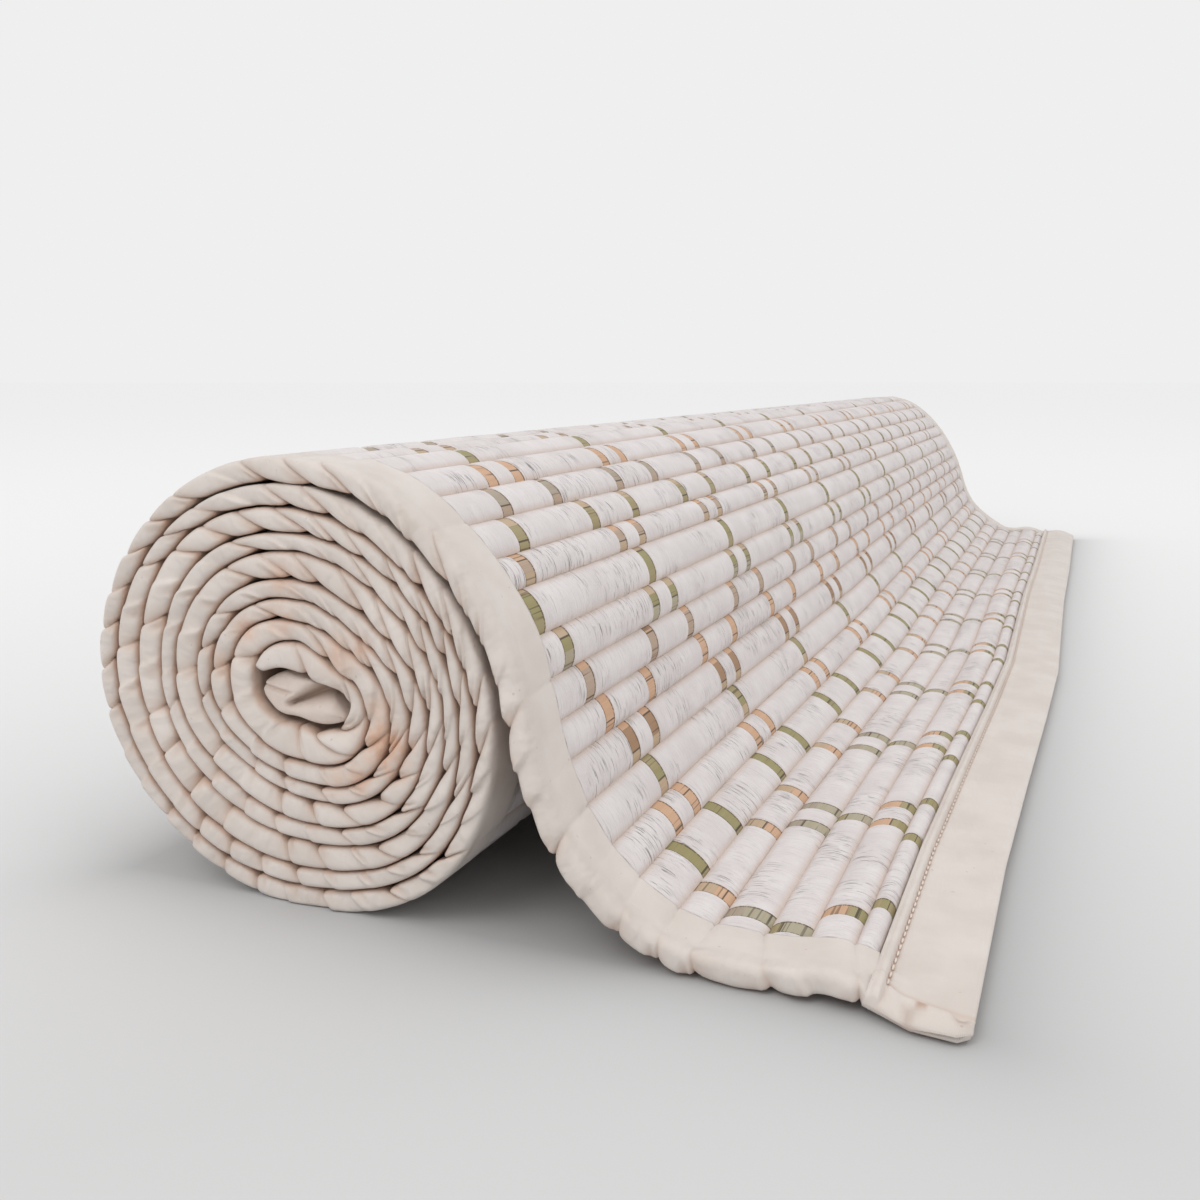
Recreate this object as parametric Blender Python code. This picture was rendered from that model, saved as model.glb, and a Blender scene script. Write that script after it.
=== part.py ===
"""Rolled mat: a ribbed cotton and reed mat with bound edges, wound into a roll, its outer end lying flat.

X runs along the loose end, Y along the roll from its near end to its far end, and Z is up. The roll
and the loose end rest on Z = 0, and the origin is under the middle of the whole mat. Lengths in the
tables are millimetres from a corner of the roll's near end, and MM turns them into metres.
"""

import itertools
import math
from collections import namedtuple

import bmesh
import bpy
import numpy as np
from mathutils.geometry import tessellate_polygon

MM = 0.001

# The mat as it is woven and bound
MAT_WIDTH = 762.0
SIDE_BINDING = 16.5
END_BINDING = 21.5
PIECE_GAP = 0.3

# Widths of the ribs, counted inwards from the loose end and repeated after the last. The first rib
# is partly under the end binding.
HALF_HIDDEN_RIB = 5.0
RIB_WIDTHS = (9.8, 9.6, 11.3, 9.6, 11.6, 9.7, 11.1, 10.9, 9.5, 10.0, 10.0, 11.3, 8.5, 10.0, 9.7, 10.5)

# How the turns lie, and how deep the grooves are where turns press on each other
TURN_GAP = 0.5
PRESSED_GROOVE = 0.4
THICKEST_MAT = 6.4
THICKEST_BINDING = 8.4

# How far a groove between two ribs cuts into each face, and how far it pulls the bound edge in
RIB_GROOVE = 1.7
RIB_ARCH = 2.5
BINDING_GROOVE = 0.8
EDGE_PINCH = 1.3
EDGE_ROUNDING = 2.6
EDGE_INSET = 0.5

# Middle of the roll
CENTRE_X = -12.0
CENTRE_Z = 50.0

# Distance from the roll's middle to the outer face of each turn, in the order in which the mat
# passes these eight directions on its way in, from the top of the roll over its left side.
Turn = namedtuple("Turn", "top top_left left low_left bottom low_right right top_right")
TURNS = (
    Turn(56.5, 58.2, 59.9, 54.0, 51.6, 53.2, 50.0, 48.3),
    Turn(50.2, 52.9, 54.7, 49.6, 45.8, 48.2, 45.2, 42.8),
    Turn(44.6, 48.2, 47.5, 43.8, 41.0, 43.8, 41.3, 38.9),
    Turn(38.9, 41.5, 40.3, 36.0, 34.3, 38.5, 37.9, 34.0),
    Turn(34.8, 36.4, 36.2, 30.6, 29.9, 33.9, 33.3, 27.8),
    Turn(28.2, 30.3, 29.2, 23.9, 23.6, 28.3, 28.7, 23.1),
    Turn(23.7, 25.7, 25.4, 20.2, 19.6, 23.7, 23.9, 18.7),
    Turn(18.6, 21.2, 19.8, 15.8, 15.0, 18.1, 17.8, 12.6),
    Turn(13.8, 14.7, 12.3, 7.7, 5.6, 9.2, 12.8, 6.4),
    Turn(6.1, 9.7, 15.0, 15.0, 15.0, 15.0, 15.0, 15.0),
)
WOUND_TURNS = 8.16
STEPS_A_TURN = 120
FIRST_WOUND_STEP = 2

# Middle line of the loose end from its tip to the top of the roll, at the near and the far end of
# the roll, with the mat's thickness there.
Loose = namedtuple("Loose", "near_x near_z far_x far_z thickness")
LOOSE_END = (
    Loose(141.0, 1.7, 143.0, 1.7, 3.4),
    Loose(132.0, 1.7, 134.0, 4.9, 3.4),
    Loose(125.0, 1.9, 127.0, 4.4, 3.6),
    Loose(118.5, 3.8, 120.5, 3.4, 4.8),
    Loose(113.0, 4.7, 114.5, 5.0, 5.4),
    Loose(107.0, 3.8, 108.5, 5.8, 5.7),
    Loose(100.0, 2.9, 101.5, 4.6, 5.7),
    Loose(90.0, 2.9, 93.0, 5.0, 5.7),
    Loose(80.6, 3.5, 85.0, 9.2, 5.7),
    Loose(71.3, 7.1, 76.5, 15.0, 5.7),
    Loose(63.9, 12.2, 69.0, 21.5, 5.7),
    Loose(56.3, 19.8, 63.0, 29.0, 5.7),
    Loose(50.6, 29.3, 58.5, 38.0, 5.7),
    Loose(45.8, 40.9, 54.5, 49.0, 5.7),
    Loose(42.8, 53.6, 50.5, 59.0, 5.7),
    Loose(39.2, 66.3, 44.5, 70.0, 5.7),
    Loose(30.8, 79.8, 36.5, 81.5, 5.7),
    Loose(20.2, 91.0, 25.5, 93.0, 5.7),
    Loose(10.2, 98.1, 13.5, 101.0, 5.7),
    Loose(-0.2, 101.9, 1.0, 104.6, 5.8),
)
LOOSE_STEPS = 8

# Sideways drift of the loose end across the mat's width. The mat has all of it up to the first
# distance from its tip, and none of it past the second, where it lies on the roll.
Drift = namedtuple("Drift", "y shift")
DRIFTS = (
    Drift(0.0, -0.3),
    Drift(80.0, -0.6),
    Drift(150.0, 0.8),
    Drift(225.0, 2.6),
    Drift(300.0, 3.9),
    Drift(380.0, 2.4),
    Drift(470.0, 0.8),
    Drift(590.0, 0.3),
    Drift(762.0, -1.6),
)
ALL_DRIFT = 50.0
NO_DRIFT = 180.0

# Where the mat is cut across its width to follow that drift
MAT_RINGS = (SIDE_BINDING + PIECE_GAP, 110.0, 210.0, 300.0, 400.0, 560.0, MAT_WIDTH - SIDE_BINDING - PIECE_GAP)

# Stations across a rib: where the whole rib shows, along a bound edge, and hidden inside the roll
RIB_SHARES = (0.0, 0.1, 0.3, 0.5, 0.7, 0.9)
EDGE_SHARES = (0.0, 0.33, 0.67)
HIDDEN_SHARES = (0.0, 0.5)
SHOWN_LENGTH = 540.0
SMALL_RADIUS = 24.0
SHORTEST_LAST_RIB = 0.5

# Outer end binding: how far its two ends stand past the side bindings, and the ridge along its seam
NEAR_OVERHANG = 3.5
FAR_OVERHANG = 2.5
SEAM_RIDGE_WIDTH = 2.6
SEAM_RIDGE_HEIGHT = 1.3
RIDGE_RISE = 0.6
RIDGE_FALL = 0.8
TIP_ROUNDING = 1.0
TIP_UNDERCUT = 0.4
PRESSED_END = 0.6

# Inner end binding, folded back on itself in the eye of the roll: its outline seen from the near end
Point = namedtuple("Point", "x z")
FOLDED_END = (
    Point(-7.4, 53.6),
    Point(-10.5, 54.7),
    Point(-14.0, 55.3),
    Point(-18.0, 55.7),
    Point(-21.2, 54.6),
    Point(-23.4, 52.8),
    Point(-23.4, 50.3),
    Point(-21.6, 48.2),
    Point(-19.2, 46.5),
    Point(-16.2, 45.9),
    Point(-13.0, 45.7),
    Point(-9.8, 44.9),
    Point(-6.3, 44.6),
    Point(-2.9, 45.2),
    Point(-0.4, 46.6),
    Point(-1.5, 48.9),
    Point(-4.2, 50.8),
    Point(-7.2, 52.0),
    Point(-11.0, 50.7),
    Point(-14.8, 49.2),
    Point(-11.2, 51.5),
)
FOLDED_END_TUCK = 1.5

# Points at the end of that outline where the fold opens, which the eye of the roll runs straight past
FOLD_MOUTH = 3
EYE_GAP = 0.6
EYE_CENTRE = Point(-11.5, 50.0)

COTTON = (0.735, 0.690, 0.655, 1.0)
BINDING = (0.770, 0.715, 0.650, 1.0)
CLOTH_ROUGHNESS = 0.9
SHARP_ANGLE = math.radians(50)


class Course:
    """The mat's middle line from its loose tip inwards, as values that a distance along it gives."""

    def __init__(self):
        loose = smooth_rows(LOOSE_END, LOOSE_STEPS)
        wound = wound_rows()
        rows = np.vstack([loose, wound])
        steps = np.hypot(np.diff(rows[:, 0]), np.diff(rows[:, 1]))
        self.along = np.concatenate([[0.0], np.cumsum(steps)])
        self.rows = np.hstack([rows, self.outward(rows, len(loose))])
        self.length = self.along[-1]
        self.on_roll = self.along[len(loose)]
        self.one_turn_on = self.along[len(loose) + STEPS_A_TURN]

    @staticmethod
    def outward(rows, loose_count):
        """Return the direction to the outer face at each row, for the near and the far end."""
        sides = []
        for first in (0, 2):
            tangent = np.gradient(rows[:, first : first + 2], axis=0)
            tangent /= np.linalg.norm(tangent, axis=1)[:, None]
            facing = np.stack([tangent[:, 1], -tangent[:, 0]], axis=1)
            spoke = rows[:, first : first + 2] - (CENTRE_X, CENTRE_Z)
            spoke /= np.linalg.norm(spoke, axis=1)[:, None]
            facing[loose_count:] = spoke[loose_count:]
            sides.append(facing)
        return np.hstack(sides)

    def at(self, along, y):
        """Return middle points, outward directions and thickness at distances along and across the mat."""
        blend = min(max(y / MAT_WIDTH, 0), 1)
        value = [np.interp(along, self.along, column) for column in self.rows.T]
        near_x, near_z, far_x, far_z, thickness, near_u, near_w, far_u, far_w = value
        middle = np.stack([near_x + (far_x - near_x) * blend, near_z + (far_z - near_z) * blend], axis=1)
        facing = np.stack([near_u + (far_u - near_u) * blend, near_w + (far_w - near_w) * blend], axis=1)
        fade = np.clip((NO_DRIFT - along) / (NO_DRIFT - ALL_DRIFT), 0, 1)
        shift = np.interp(y, [drift.y for drift in DRIFTS], [drift.shift for drift in DRIFTS])
        middle[:, 0] += shift * fade**2 * (3 - 2 * fade)
        return middle, facing / np.linalg.norm(facing, axis=1)[:, None], thickness


def smooth_rows(rows, steps):
    """Return a table's rows with smooth ones between them, by a curve through each four rows."""
    table = np.array(rows, float)
    padded = np.vstack([2 * table[0] - table[1], table, 2 * table[-1] - table[-2]])
    out = []
    for i in range(1, len(padded) - 2):
        before, start, end, after = padded[i - 1 : i + 3]
        for t in np.linspace(0, 1, steps, endpoint=False):
            bend = 2 * start + (end - before) * t
            bend += (2 * before - 5 * start + 4 * end - after) * t**2
            bend += (3 * start - before - 3 * end + after) * t**3
            out.append(bend / 2)
    out.append(table[-1])
    return np.array(out)


def wound_rows():
    """Return the middle line's rows through the turns, from the top of the roll to the inner end."""
    faces = np.array([radius for turn in TURNS for radius in turn])
    fine = smooth_rows(faces[:, None], STEPS_A_TURN // len(Turn._fields))[:, 0]
    rows = []
    for i in range(FIRST_WOUND_STEP, int(WOUND_TURNS * STEPS_A_TURN) + 1):
        angle = math.pi / 2 + math.tau * i / STEPS_A_TURN
        outer, inner = fine[i], fine[i + STEPS_A_TURN]
        radius = (outer + inner) / 2
        x = CENTRE_X + radius * math.cos(angle)
        z = CENTRE_Z + radius * math.sin(angle)
        rows.append((x, z, x, z, outer - inner - TURN_GAP))
    return np.array(rows)


def rib_edges(course):
    """Return where the grooves between ribs cross the course, the mat's two ends included."""
    start = END_BINDING + PIECE_GAP
    edges = [start, start + HALF_HIDDEN_RIB]
    for width in itertools.cycle(RIB_WIDTHS):
        if edges[-1] + (1 + SHORTEST_LAST_RIB) * width > course.length:
            break
        edges.append(edges[-1] + width)
    edges.append(course.length)
    return edges


def rib_stations(course, shown_shares, hidden_shares, last):
    """Return distances along the course up to the last, and how far across its rib each lies, 0 to 1."""
    edges = [edge for edge in rib_edges(course) if edge < last] + [last]
    along, share = [], []
    for start, end in zip(edges, edges[1:]):
        middle, _, _ = course.at(np.array([start]), 0.0)
        radius = math.hypot(middle[0, 0] - CENTRE_X, middle[0, 1] - CENTRE_Z)
        shares = shown_shares if start < SHOWN_LENGTH else hidden_shares
        if radius < SMALL_RADIUS:
            shares = EDGE_SHARES
        for part in shares:
            along.append(start + (end - start) * part)
            share.append(part)
    along.append(edges[-1])
    share.append(0.0)
    return np.array(along), np.array(share)


def groove(share):
    """Return how deep in a groove a place in a rib is: 1 between two ribs, 0 on a rib's back."""
    return 1 - np.sqrt(np.maximum(0, 1 - np.abs(2 * share - 1) ** RIB_ARCH))


def strip(name, course, along, rings, thickest, grooves, colour):
    """Build one strip of the mat that follows the course.

    Each ring is a row of Y for every station, and the share of the strip's thickness that it has.
    """
    mesh = bmesh.new()
    lines = []
    for y, share in rings:
        middle, facing, thickness = course.at(along, np.mean(y))
        half = (np.minimum(thickness, thickest) / 2 - grooves) * share
        for side in (1, -1):
            spot = middle + side * facing * half[:, None]
            spot[:, 1] = np.maximum(spot[:, 1], 0)
            lines.append([mesh.verts.new((x * MM, v * MM, z * MM)) for (x, z), v in zip(spot, y)])
    outline = [lines[i] for i in range(0, len(lines), 2)]
    outline += [lines[i] for i in range(len(lines) - 1, 0, -2)]
    for this, other in zip(outline, outline[1:] + outline[:1]):
        for i in range(len(along) - 1):
            mesh.faces.new((this[i], this[i + 1], other[i + 1], other[i]))
    mesh.faces.new([line[0] for line in outline])
    mesh.faces.new([line[-1] for line in reversed(outline)])
    finish(name, mesh, colour)


def prism(name, sections, colour, bore=()):
    """Build a solid from outlines of the same number of points, each a list of (x, y, z).

    The bore is the outline of a hole right through the solid, as a list of (x, z).
    """
    mesh = bmesh.new()
    walls = [sections]
    if bore:
        walls.append([[(x, section[0][1], z) for x, z in bore] for section in sections])
    walls = [[[mesh.verts.new([c * MM for c in point]) for point in loop] for loop in wall] for wall in walls]
    for wall in walls:
        for this, other in zip(wall, wall[1:]):
            for i in range(len(this)):
                j = (i + 1) % len(this)
                mesh.faces.new((this[i], this[j], other[j], other[i]))
    for end in (0, -1):
        outlines = [wall[end] for wall in walls]
        corners = [corner for outline in outlines for corner in outline]
        for triangle in tessellate_polygon([[corner.co for corner in outline] for outline in outlines]):
            mesh.faces.new([corners[i] for i in triangle])
    finish(name, mesh, colour)


def finish(name, mesh, colour):
    """Turn a bmesh into a named object with its own material, facing out and shaded smooth where round."""
    bmesh.ops.triangulate(mesh, faces=[face for face in mesh.faces if len(face.verts) > 4])
    bmesh.ops.recalc_face_normals(mesh, faces=mesh.faces)
    data = bpy.data.meshes.new(name)
    mesh.to_mesh(data)
    mesh.free()
    data.shade_smooth()
    data.set_sharp_from_angle(angle=SHARP_ANGLE)
    material = bpy.data.materials.new(name)
    material.use_nodes = True
    shader = material.node_tree.nodes["Principled BSDF"]
    shader.inputs["Base Color"].default_value = colour
    shader.inputs["Roughness"].default_value = CLOTH_ROUGHNESS
    data.materials.append(material)
    bpy.context.scene.collection.objects.link(bpy.data.objects.new(name, data))


def mat_face(course, along, share, y, side):
    """Return a row of points on the mat's outer face, side 1, or its inner face, side -1."""
    middle, facing, thickness = course.at(along, y)
    depth = RIB_GROOVE * groove(share) * np.where(along < SHOWN_LENGTH, 1.0, PRESSED_GROOVE)
    spots = middle + side * facing * (np.minimum(thickness, THICKEST_MAT) / 2 - depth)[:, None]
    return [(x, y, max(z, 0.0)) for x, z in spots]


def eye_outline():
    """Return the outline of the eye of the roll, a little outside the folded end binding."""
    spots = []
    for x, z in FOLDED_END[:-FOLD_MOUTH]:
        reach = math.hypot(x - EYE_CENTRE.x, z - EYE_CENTRE.z)
        grown = (reach + EYE_GAP) / reach
        spots.append((EYE_CENTRE.x + (x - EYE_CENTRE.x) * grown, EYE_CENTRE.z + (z - EYE_CENTRE.z) * grown))
    return spots


def woven_mat(course):
    """Build the mat between its bindings: the loose end, the turn that shows and the wound inside as one."""
    shown = rib_stations(course, RIB_SHARES, RIB_SHARES, course.one_turn_on)
    under = rib_stations(course, EDGE_SHARES, EDGE_SHARES, course.on_roll)
    sections = []
    for y in MAT_RINGS:
        outer_face = mat_face(course, *shown, y, 1)
        inner_face = mat_face(course, *under, y, -1)
        sections.append(outer_face + inner_face[::-1])
    prism("woven_mat", sections, COTTON, eye_outline())


def side_binding(name, course, edge, inward, shares):
    """Build the binding along one side, puffed over each rib's end and pinched between ribs."""
    along, share = rib_stations(course, shares, shares, course.length)
    depth = groove(share)
    pinched = edge + inward * EDGE_PINCH * depth
    rounded = np.full(len(along), edge + inward * EDGE_ROUNDING)
    seam = np.full(len(along), edge + inward * SIDE_BINDING)
    rings = [(pinched, EDGE_INSET), (rounded, 1.0), (seam, 1.0)]
    strip(name, course, along, rings, THICKEST_BINDING, BINDING_GROOVE * depth, BINDING)


def end_binding_outer(course):
    """Build the flat binding across the loose end, with a raised ridge along its seam."""
    ridge = END_BINDING - SEAM_RIDGE_WIDTH
    crest = (ridge + RIDGE_RISE, END_BINDING - RIDGE_FALL)
    along = np.array([0, TIP_ROUNDING, ridge / 2, ridge, *crest, END_BINDING])
    raised = np.array([-TIP_ROUNDING, 0, 0, 0, SEAM_RIDGE_HEIGHT, SEAM_RIDGE_HEIGHT, 0])
    lowered = np.array([-TIP_UNDERCUT, 0, 0, 0, 0, 0, 0])
    sections = []
    for y in (-NEAR_OVERHANG, 0.0, *MAT_RINGS, MAT_WIDTH, MAT_WIDTH + FAR_OVERHANG):
        middle, facing, thickness = course.at(along, y)
        squeeze = 1.0 if 0 <= y <= MAT_WIDTH else PRESSED_END
        above = middle + facing * (squeeze * (thickness / 2 + raised))[:, None]
        below = middle - facing * (squeeze * (thickness / 2 + lowered))[:, None]
        below[:, 1] = np.maximum(below[:, 1], 0)
        outline = list(above) + list(below[::-1])
        sections.append([(x, y, z) for x, z in outline])
    prism("end_binding_outer", sections, BINDING)


def end_binding_inner():
    """Build the binding across the inner end, folded back on itself in the eye of the roll."""
    ends = (FOLDED_END_TUCK, MAT_WIDTH - FOLDED_END_TUCK)
    prism("end_binding_inner", [[(p.x, y, p.z) for p in FOLDED_END] for y in ends], BINDING)


def stand_over_origin():
    """Move every piece so that the origin is under the middle of the whole mat's box."""
    corners = [point.co for thing in bpy.data.objects for point in thing.data.vertices]
    low = [min(corner[axis] for corner in corners) for axis in range(3)]
    high = [max(corner[axis] for corner in corners) for axis in range(3)]
    for thing in bpy.data.objects:
        thing.location = (-(low[0] + high[0]) / 2, -(low[1] + high[1]) / 2, -low[2])


def main():
    """Clear the scene and build the five pieces of the rolled mat."""
    for thing in list(bpy.data.objects):
        bpy.data.objects.remove(thing)
    course = Course()
    woven_mat(course)
    side_binding("side_binding_near", course, 0.0, 1, EDGE_SHARES)
    side_binding("side_binding_far", course, MAT_WIDTH, -1, HIDDEN_SHARES)
    end_binding_outer(course)
    end_binding_inner()
    stand_over_origin()


main()
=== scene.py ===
"""Looks of the rolled mat: ribbed cotton and reed cloth with bound edges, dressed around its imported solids.

Lengths in the tables are millimetres in the mat's own drawing, where X runs along the loose end, Y along
the roll from its near end and Z is up. Drawing.place turns them into the frame's metres.
"""

import itertools
import logging
import math
from dataclasses import dataclass, field
from enum import Enum
from typing import Iterable, NamedTuple, Sequence

import bmesh
import bpy
import numpy as np
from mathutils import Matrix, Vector

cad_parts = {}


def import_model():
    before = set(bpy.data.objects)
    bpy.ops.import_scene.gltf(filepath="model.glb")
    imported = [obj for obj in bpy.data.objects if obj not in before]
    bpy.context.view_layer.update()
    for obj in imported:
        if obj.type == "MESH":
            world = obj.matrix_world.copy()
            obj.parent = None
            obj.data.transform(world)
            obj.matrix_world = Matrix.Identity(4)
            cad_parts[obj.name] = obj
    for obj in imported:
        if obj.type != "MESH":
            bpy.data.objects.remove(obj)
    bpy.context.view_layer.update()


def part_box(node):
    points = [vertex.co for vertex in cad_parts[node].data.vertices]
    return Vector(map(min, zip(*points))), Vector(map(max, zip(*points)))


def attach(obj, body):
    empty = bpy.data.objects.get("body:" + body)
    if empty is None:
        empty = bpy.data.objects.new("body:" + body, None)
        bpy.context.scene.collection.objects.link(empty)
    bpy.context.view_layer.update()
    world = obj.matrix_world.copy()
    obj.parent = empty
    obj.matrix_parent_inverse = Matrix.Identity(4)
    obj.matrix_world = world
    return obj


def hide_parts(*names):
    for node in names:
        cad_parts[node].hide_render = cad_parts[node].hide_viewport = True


LOG = logging.getLogger("rolled_mat")
MM = 0.001
Array = np.ndarray


class Turn(NamedTuple):
    """Distance from the roll's middle to a turn's outer face, in the eight directions of its way in."""

    top: float
    top_left: float
    left: float
    low_left: float
    bottom: float
    low_right: float
    right: float
    top_right: float


class Loose(NamedTuple):
    """Middle line of the loose end at the roll's near and far end, with the mat's thickness there."""

    near_x: float
    near_z: float
    far_x: float
    far_z: float
    thickness: float


class Drift(NamedTuple):
    """Sideways shift of the loose end at a distance across the mat."""

    y: float
    shift: float


class Setback(NamedTuple):
    """How far the loose end's near edge is set back, at a distance from its tip."""

    along: float
    back: float


class Spot(NamedTuple):
    """A round spot on the roll's end face, with its radius and strength."""

    x: float
    z: float
    radius: float
    strength: float


# The turns from the outermost inwards
TURNS = (
    Turn(56.5, 58.2, 59.9, 54.0, 51.6, 53.2, 50.0, 48.3),
    Turn(50.2, 52.9, 54.7, 49.6, 45.8, 48.2, 45.2, 42.8),
    Turn(44.6, 48.2, 47.5, 43.8, 41.0, 43.8, 41.3, 38.9),
    Turn(38.9, 41.5, 40.3, 36.0, 34.3, 38.5, 37.9, 34.0),
    Turn(34.8, 36.4, 36.2, 30.6, 29.9, 33.9, 33.3, 27.8),
    Turn(28.2, 30.3, 29.2, 23.9, 23.6, 28.3, 28.7, 23.1),
    Turn(23.7, 25.7, 25.4, 20.2, 19.6, 23.7, 23.9, 18.7),
    Turn(18.6, 21.2, 19.8, 15.8, 15.0, 18.1, 17.8, 12.6),
    Turn(13.8, 14.7, 12.3, 7.7, 5.6, 9.2, 12.8, 6.4),
    Turn(6.1, 9.7, 15.0, 15.0, 15.0, 15.0, 15.0, 15.0),
)
# The loose end from its tip to the top of the roll
LOOSE_END = (
    Loose(141.0, 1.7, 143.0, 1.7, 3.4),
    Loose(132.0, 1.7, 134.0, 4.9, 3.4),
    Loose(125.0, 1.9, 127.0, 4.4, 3.6),
    Loose(118.5, 3.8, 120.5, 3.4, 4.8),
    Loose(113.0, 4.7, 114.5, 5.0, 5.4),
    Loose(107.0, 3.8, 108.5, 5.8, 5.7),
    Loose(100.0, 2.9, 101.5, 4.6, 5.7),
    Loose(90.0, 2.9, 93.0, 5.0, 5.7),
    Loose(80.6, 3.5, 85.0, 9.2, 5.7),
    Loose(71.3, 7.1, 76.5, 15.0, 5.7),
    Loose(63.9, 12.2, 69.0, 21.5, 5.7),
    Loose(56.3, 19.8, 63.0, 29.0, 5.7),
    Loose(50.6, 29.3, 58.5, 38.0, 5.7),
    Loose(45.8, 40.9, 54.5, 49.0, 5.7),
    Loose(42.8, 53.6, 50.5, 59.0, 5.7),
    Loose(39.2, 66.3, 44.5, 70.0, 5.7),
    Loose(30.8, 79.8, 36.5, 81.5, 5.7),
    Loose(20.2, 91.0, 25.5, 93.0, 5.7),
    Loose(10.2, 98.1, 13.5, 101.0, 5.7),
    Loose(-0.2, 101.9, 1.0, 104.6, 5.8),
)
DRIFTS = (
    Drift(0.0, -0.3),
    Drift(80.0, -0.6),
    Drift(150.0, 0.8),
    Drift(225.0, 2.6),
    Drift(300.0, 3.9),
    Drift(380.0, 2.4),
    Drift(470.0, 0.8),
    Drift(590.0, 0.3),
    Drift(762.0, -1.6),
)
NEAR_END = (
    Setback(0.0, 1.6),
    Setback(1.0, 0.2),
    Setback(3.0, -1.4),
    Setback(8.0, -1.2),
    Setback(11.0, -0.7),
    Setback(15.0, 0.2),
    Setback(18.0, 1.6),
    Setback(21.5, 3.2),
)
# Outline of the folded end in the eye, and how far its solid lies in from the mat's edges
FOLDED_END = (
    (-7.4, 53.6),
    (-10.5, 54.7),
    (-14.0, 55.3),
    (-18.0, 55.7),
    (-21.2, 54.6),
    (-23.4, 52.8),
    (-23.4, 50.3),
    (-21.6, 48.2),
    (-19.2, 46.5),
    (-16.2, 45.9),
    (-13.0, 45.7),
    (-9.8, 44.9),
    (-6.3, 44.6),
    (-2.9, 45.2),
    (-0.4, 46.6),
    (-1.5, 48.9),
    (-4.2, 51.2),
)
FOLDED_TUCK = 1.5
# The rust-coloured stains of the near end face, and how far they reach in from it
STAINS = (
    Spot(11.0, 42.0, 5.5, 1.0),
    Spot(12.5, 37.5, 4.0, 0.55),
    Spot(-26.0, 66.0, 3.5, 0.6),
    Spot(-16.0, 69.0, 4.0, 0.55),
    Spot(0.0, 62.0, 5.0, 0.45),
    Spot(5.0, 64.0, 3.0, 0.5),
    Spot(4.0, 33.0, 4.0, 0.55),
    Spot(-2.0, 31.5, 4.0, 0.35),
    Spot(-15.0, 78.0, 4.5, 0.4),
    Spot(10.0, 50.0, 4.0, 0.35),
    Spot(-34.0, 57.0, 3.5, 0.3),
)
STAIN_REACH = 12.0


class Reed(Enum):
    """Colours of the reeds, as they look in soft daylight, in sRGB from 0 to 255."""

    GREEN = (158, 150, 106)
    OLIVE = (166, 154, 116)
    GREY_GREEN = (178, 170, 148)
    GREY = (174, 162, 146)
    TAUPE = (186, 164, 146)
    TAN = (196, 173, 146)
    ORANGE = (212, 174, 144)
    BROWN = (168, 134, 104)


class Bundle(NamedTuple):
    """The reeds in one rib from its outer edge inwards, and how its bands stand in the pattern.

    Splits are the shares of the rib's width at which the second and third reed begin, shift is how far
    its bands stand off the pattern near the roll's end, and stretch how much that grows along the roll.
    """

    reeds: tuple[Reed, Reed, Reed]
    splits: tuple[float, float]
    shift: float
    stretch: float


# The ribs of the loose end, from the one that is half under the end binding
BUNDLES = (
    Bundle((Reed.OLIVE, Reed.GREEN, Reed.OLIVE), (0.35, 0.7), 5.0, 0.0),
    Bundle((Reed.GREEN, Reed.OLIVE, Reed.ORANGE), (0.2, 0.38), 4.4, 0.012),
    Bundle((Reed.GREY_GREEN, Reed.GREY_GREEN, Reed.OLIVE), (0.14, 0.72), 1.3, 0.0),
    Bundle((Reed.GREY_GREEN, Reed.GREY_GREEN, Reed.GREY), (0.1, 0.62), -2.0, 0.01),
    Bundle((Reed.ORANGE, Reed.ORANGE, Reed.TAN), (0.25, 0.52), -3.0, 0.0),
    Bundle((Reed.OLIVE, Reed.GREEN, Reed.GREEN), (0.08, 0.5), -2.5, 0.01),
    Bundle((Reed.ORANGE, Reed.ORANGE, Reed.ORANGE), (0.1, 0.62), -1.5, 0.01),
    Bundle((Reed.TAN, Reed.GREEN, Reed.OLIVE), (0.34, 0.6), -0.5, 0.005),
    Bundle((Reed.TAN, Reed.BROWN, Reed.ORANGE), (0.27, 0.84), 1.3, 0.005),
    Bundle((Reed.ORANGE, Reed.ORANGE, Reed.ORANGE), (0.28, 0.64), 1.0, 0.025),
    Bundle((Reed.TAUPE, Reed.TAUPE, Reed.ORANGE), (0.12, 0.82), 1.5, 0.035),
    Bundle((Reed.GREY_GREEN, Reed.GREEN, Reed.TAN), (0.42, 0.74), 1.5, 0.038),
    Bundle((Reed.OLIVE, Reed.GREEN, Reed.TAN), (0.3, 0.86), 0.0, 0.04),
    Bundle((Reed.TAN, Reed.TAUPE, Reed.ORANGE), (0.3, 0.7), 0.0, 0.025),
    Bundle((Reed.OLIVE, Reed.OLIVE, Reed.TAN), (0.2, 0.62), 0.5, 0.033),
    Bundle((Reed.TAUPE, Reed.GREY, Reed.TAUPE), (0.25, 0.8), -1.3, 0.03),
    Bundle((Reed.ORANGE, Reed.ORANGE, Reed.TAN), (0.3, 0.76), -1.0, 0.03),
    Bundle((Reed.OLIVE, Reed.GREEN, Reed.GREEN), (0.25, 0.7), 0.0, 0.03),
    Bundle((Reed.TAN, Reed.TAUPE, Reed.TAUPE), (0.3, 0.7), 0.0, 0.03),
)


def linear(colour: Sequence[float]) -> tuple[float, float, float, float]:
    """Turn an sRGB colour into the shader's linear one.

    Args:
        colour: red, green and blue from 0 to 255.
    Returns:
        Linear red, green, blue and an alpha of 1.
    """
    parts = [c / 255 for c in colour]
    flat = [c / 12.92 if c <= 0.04045 else ((c + 0.055) / 1.055) ** 2.4 for c in parts]
    return flat[0], flat[1], flat[2], 1.0


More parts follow.
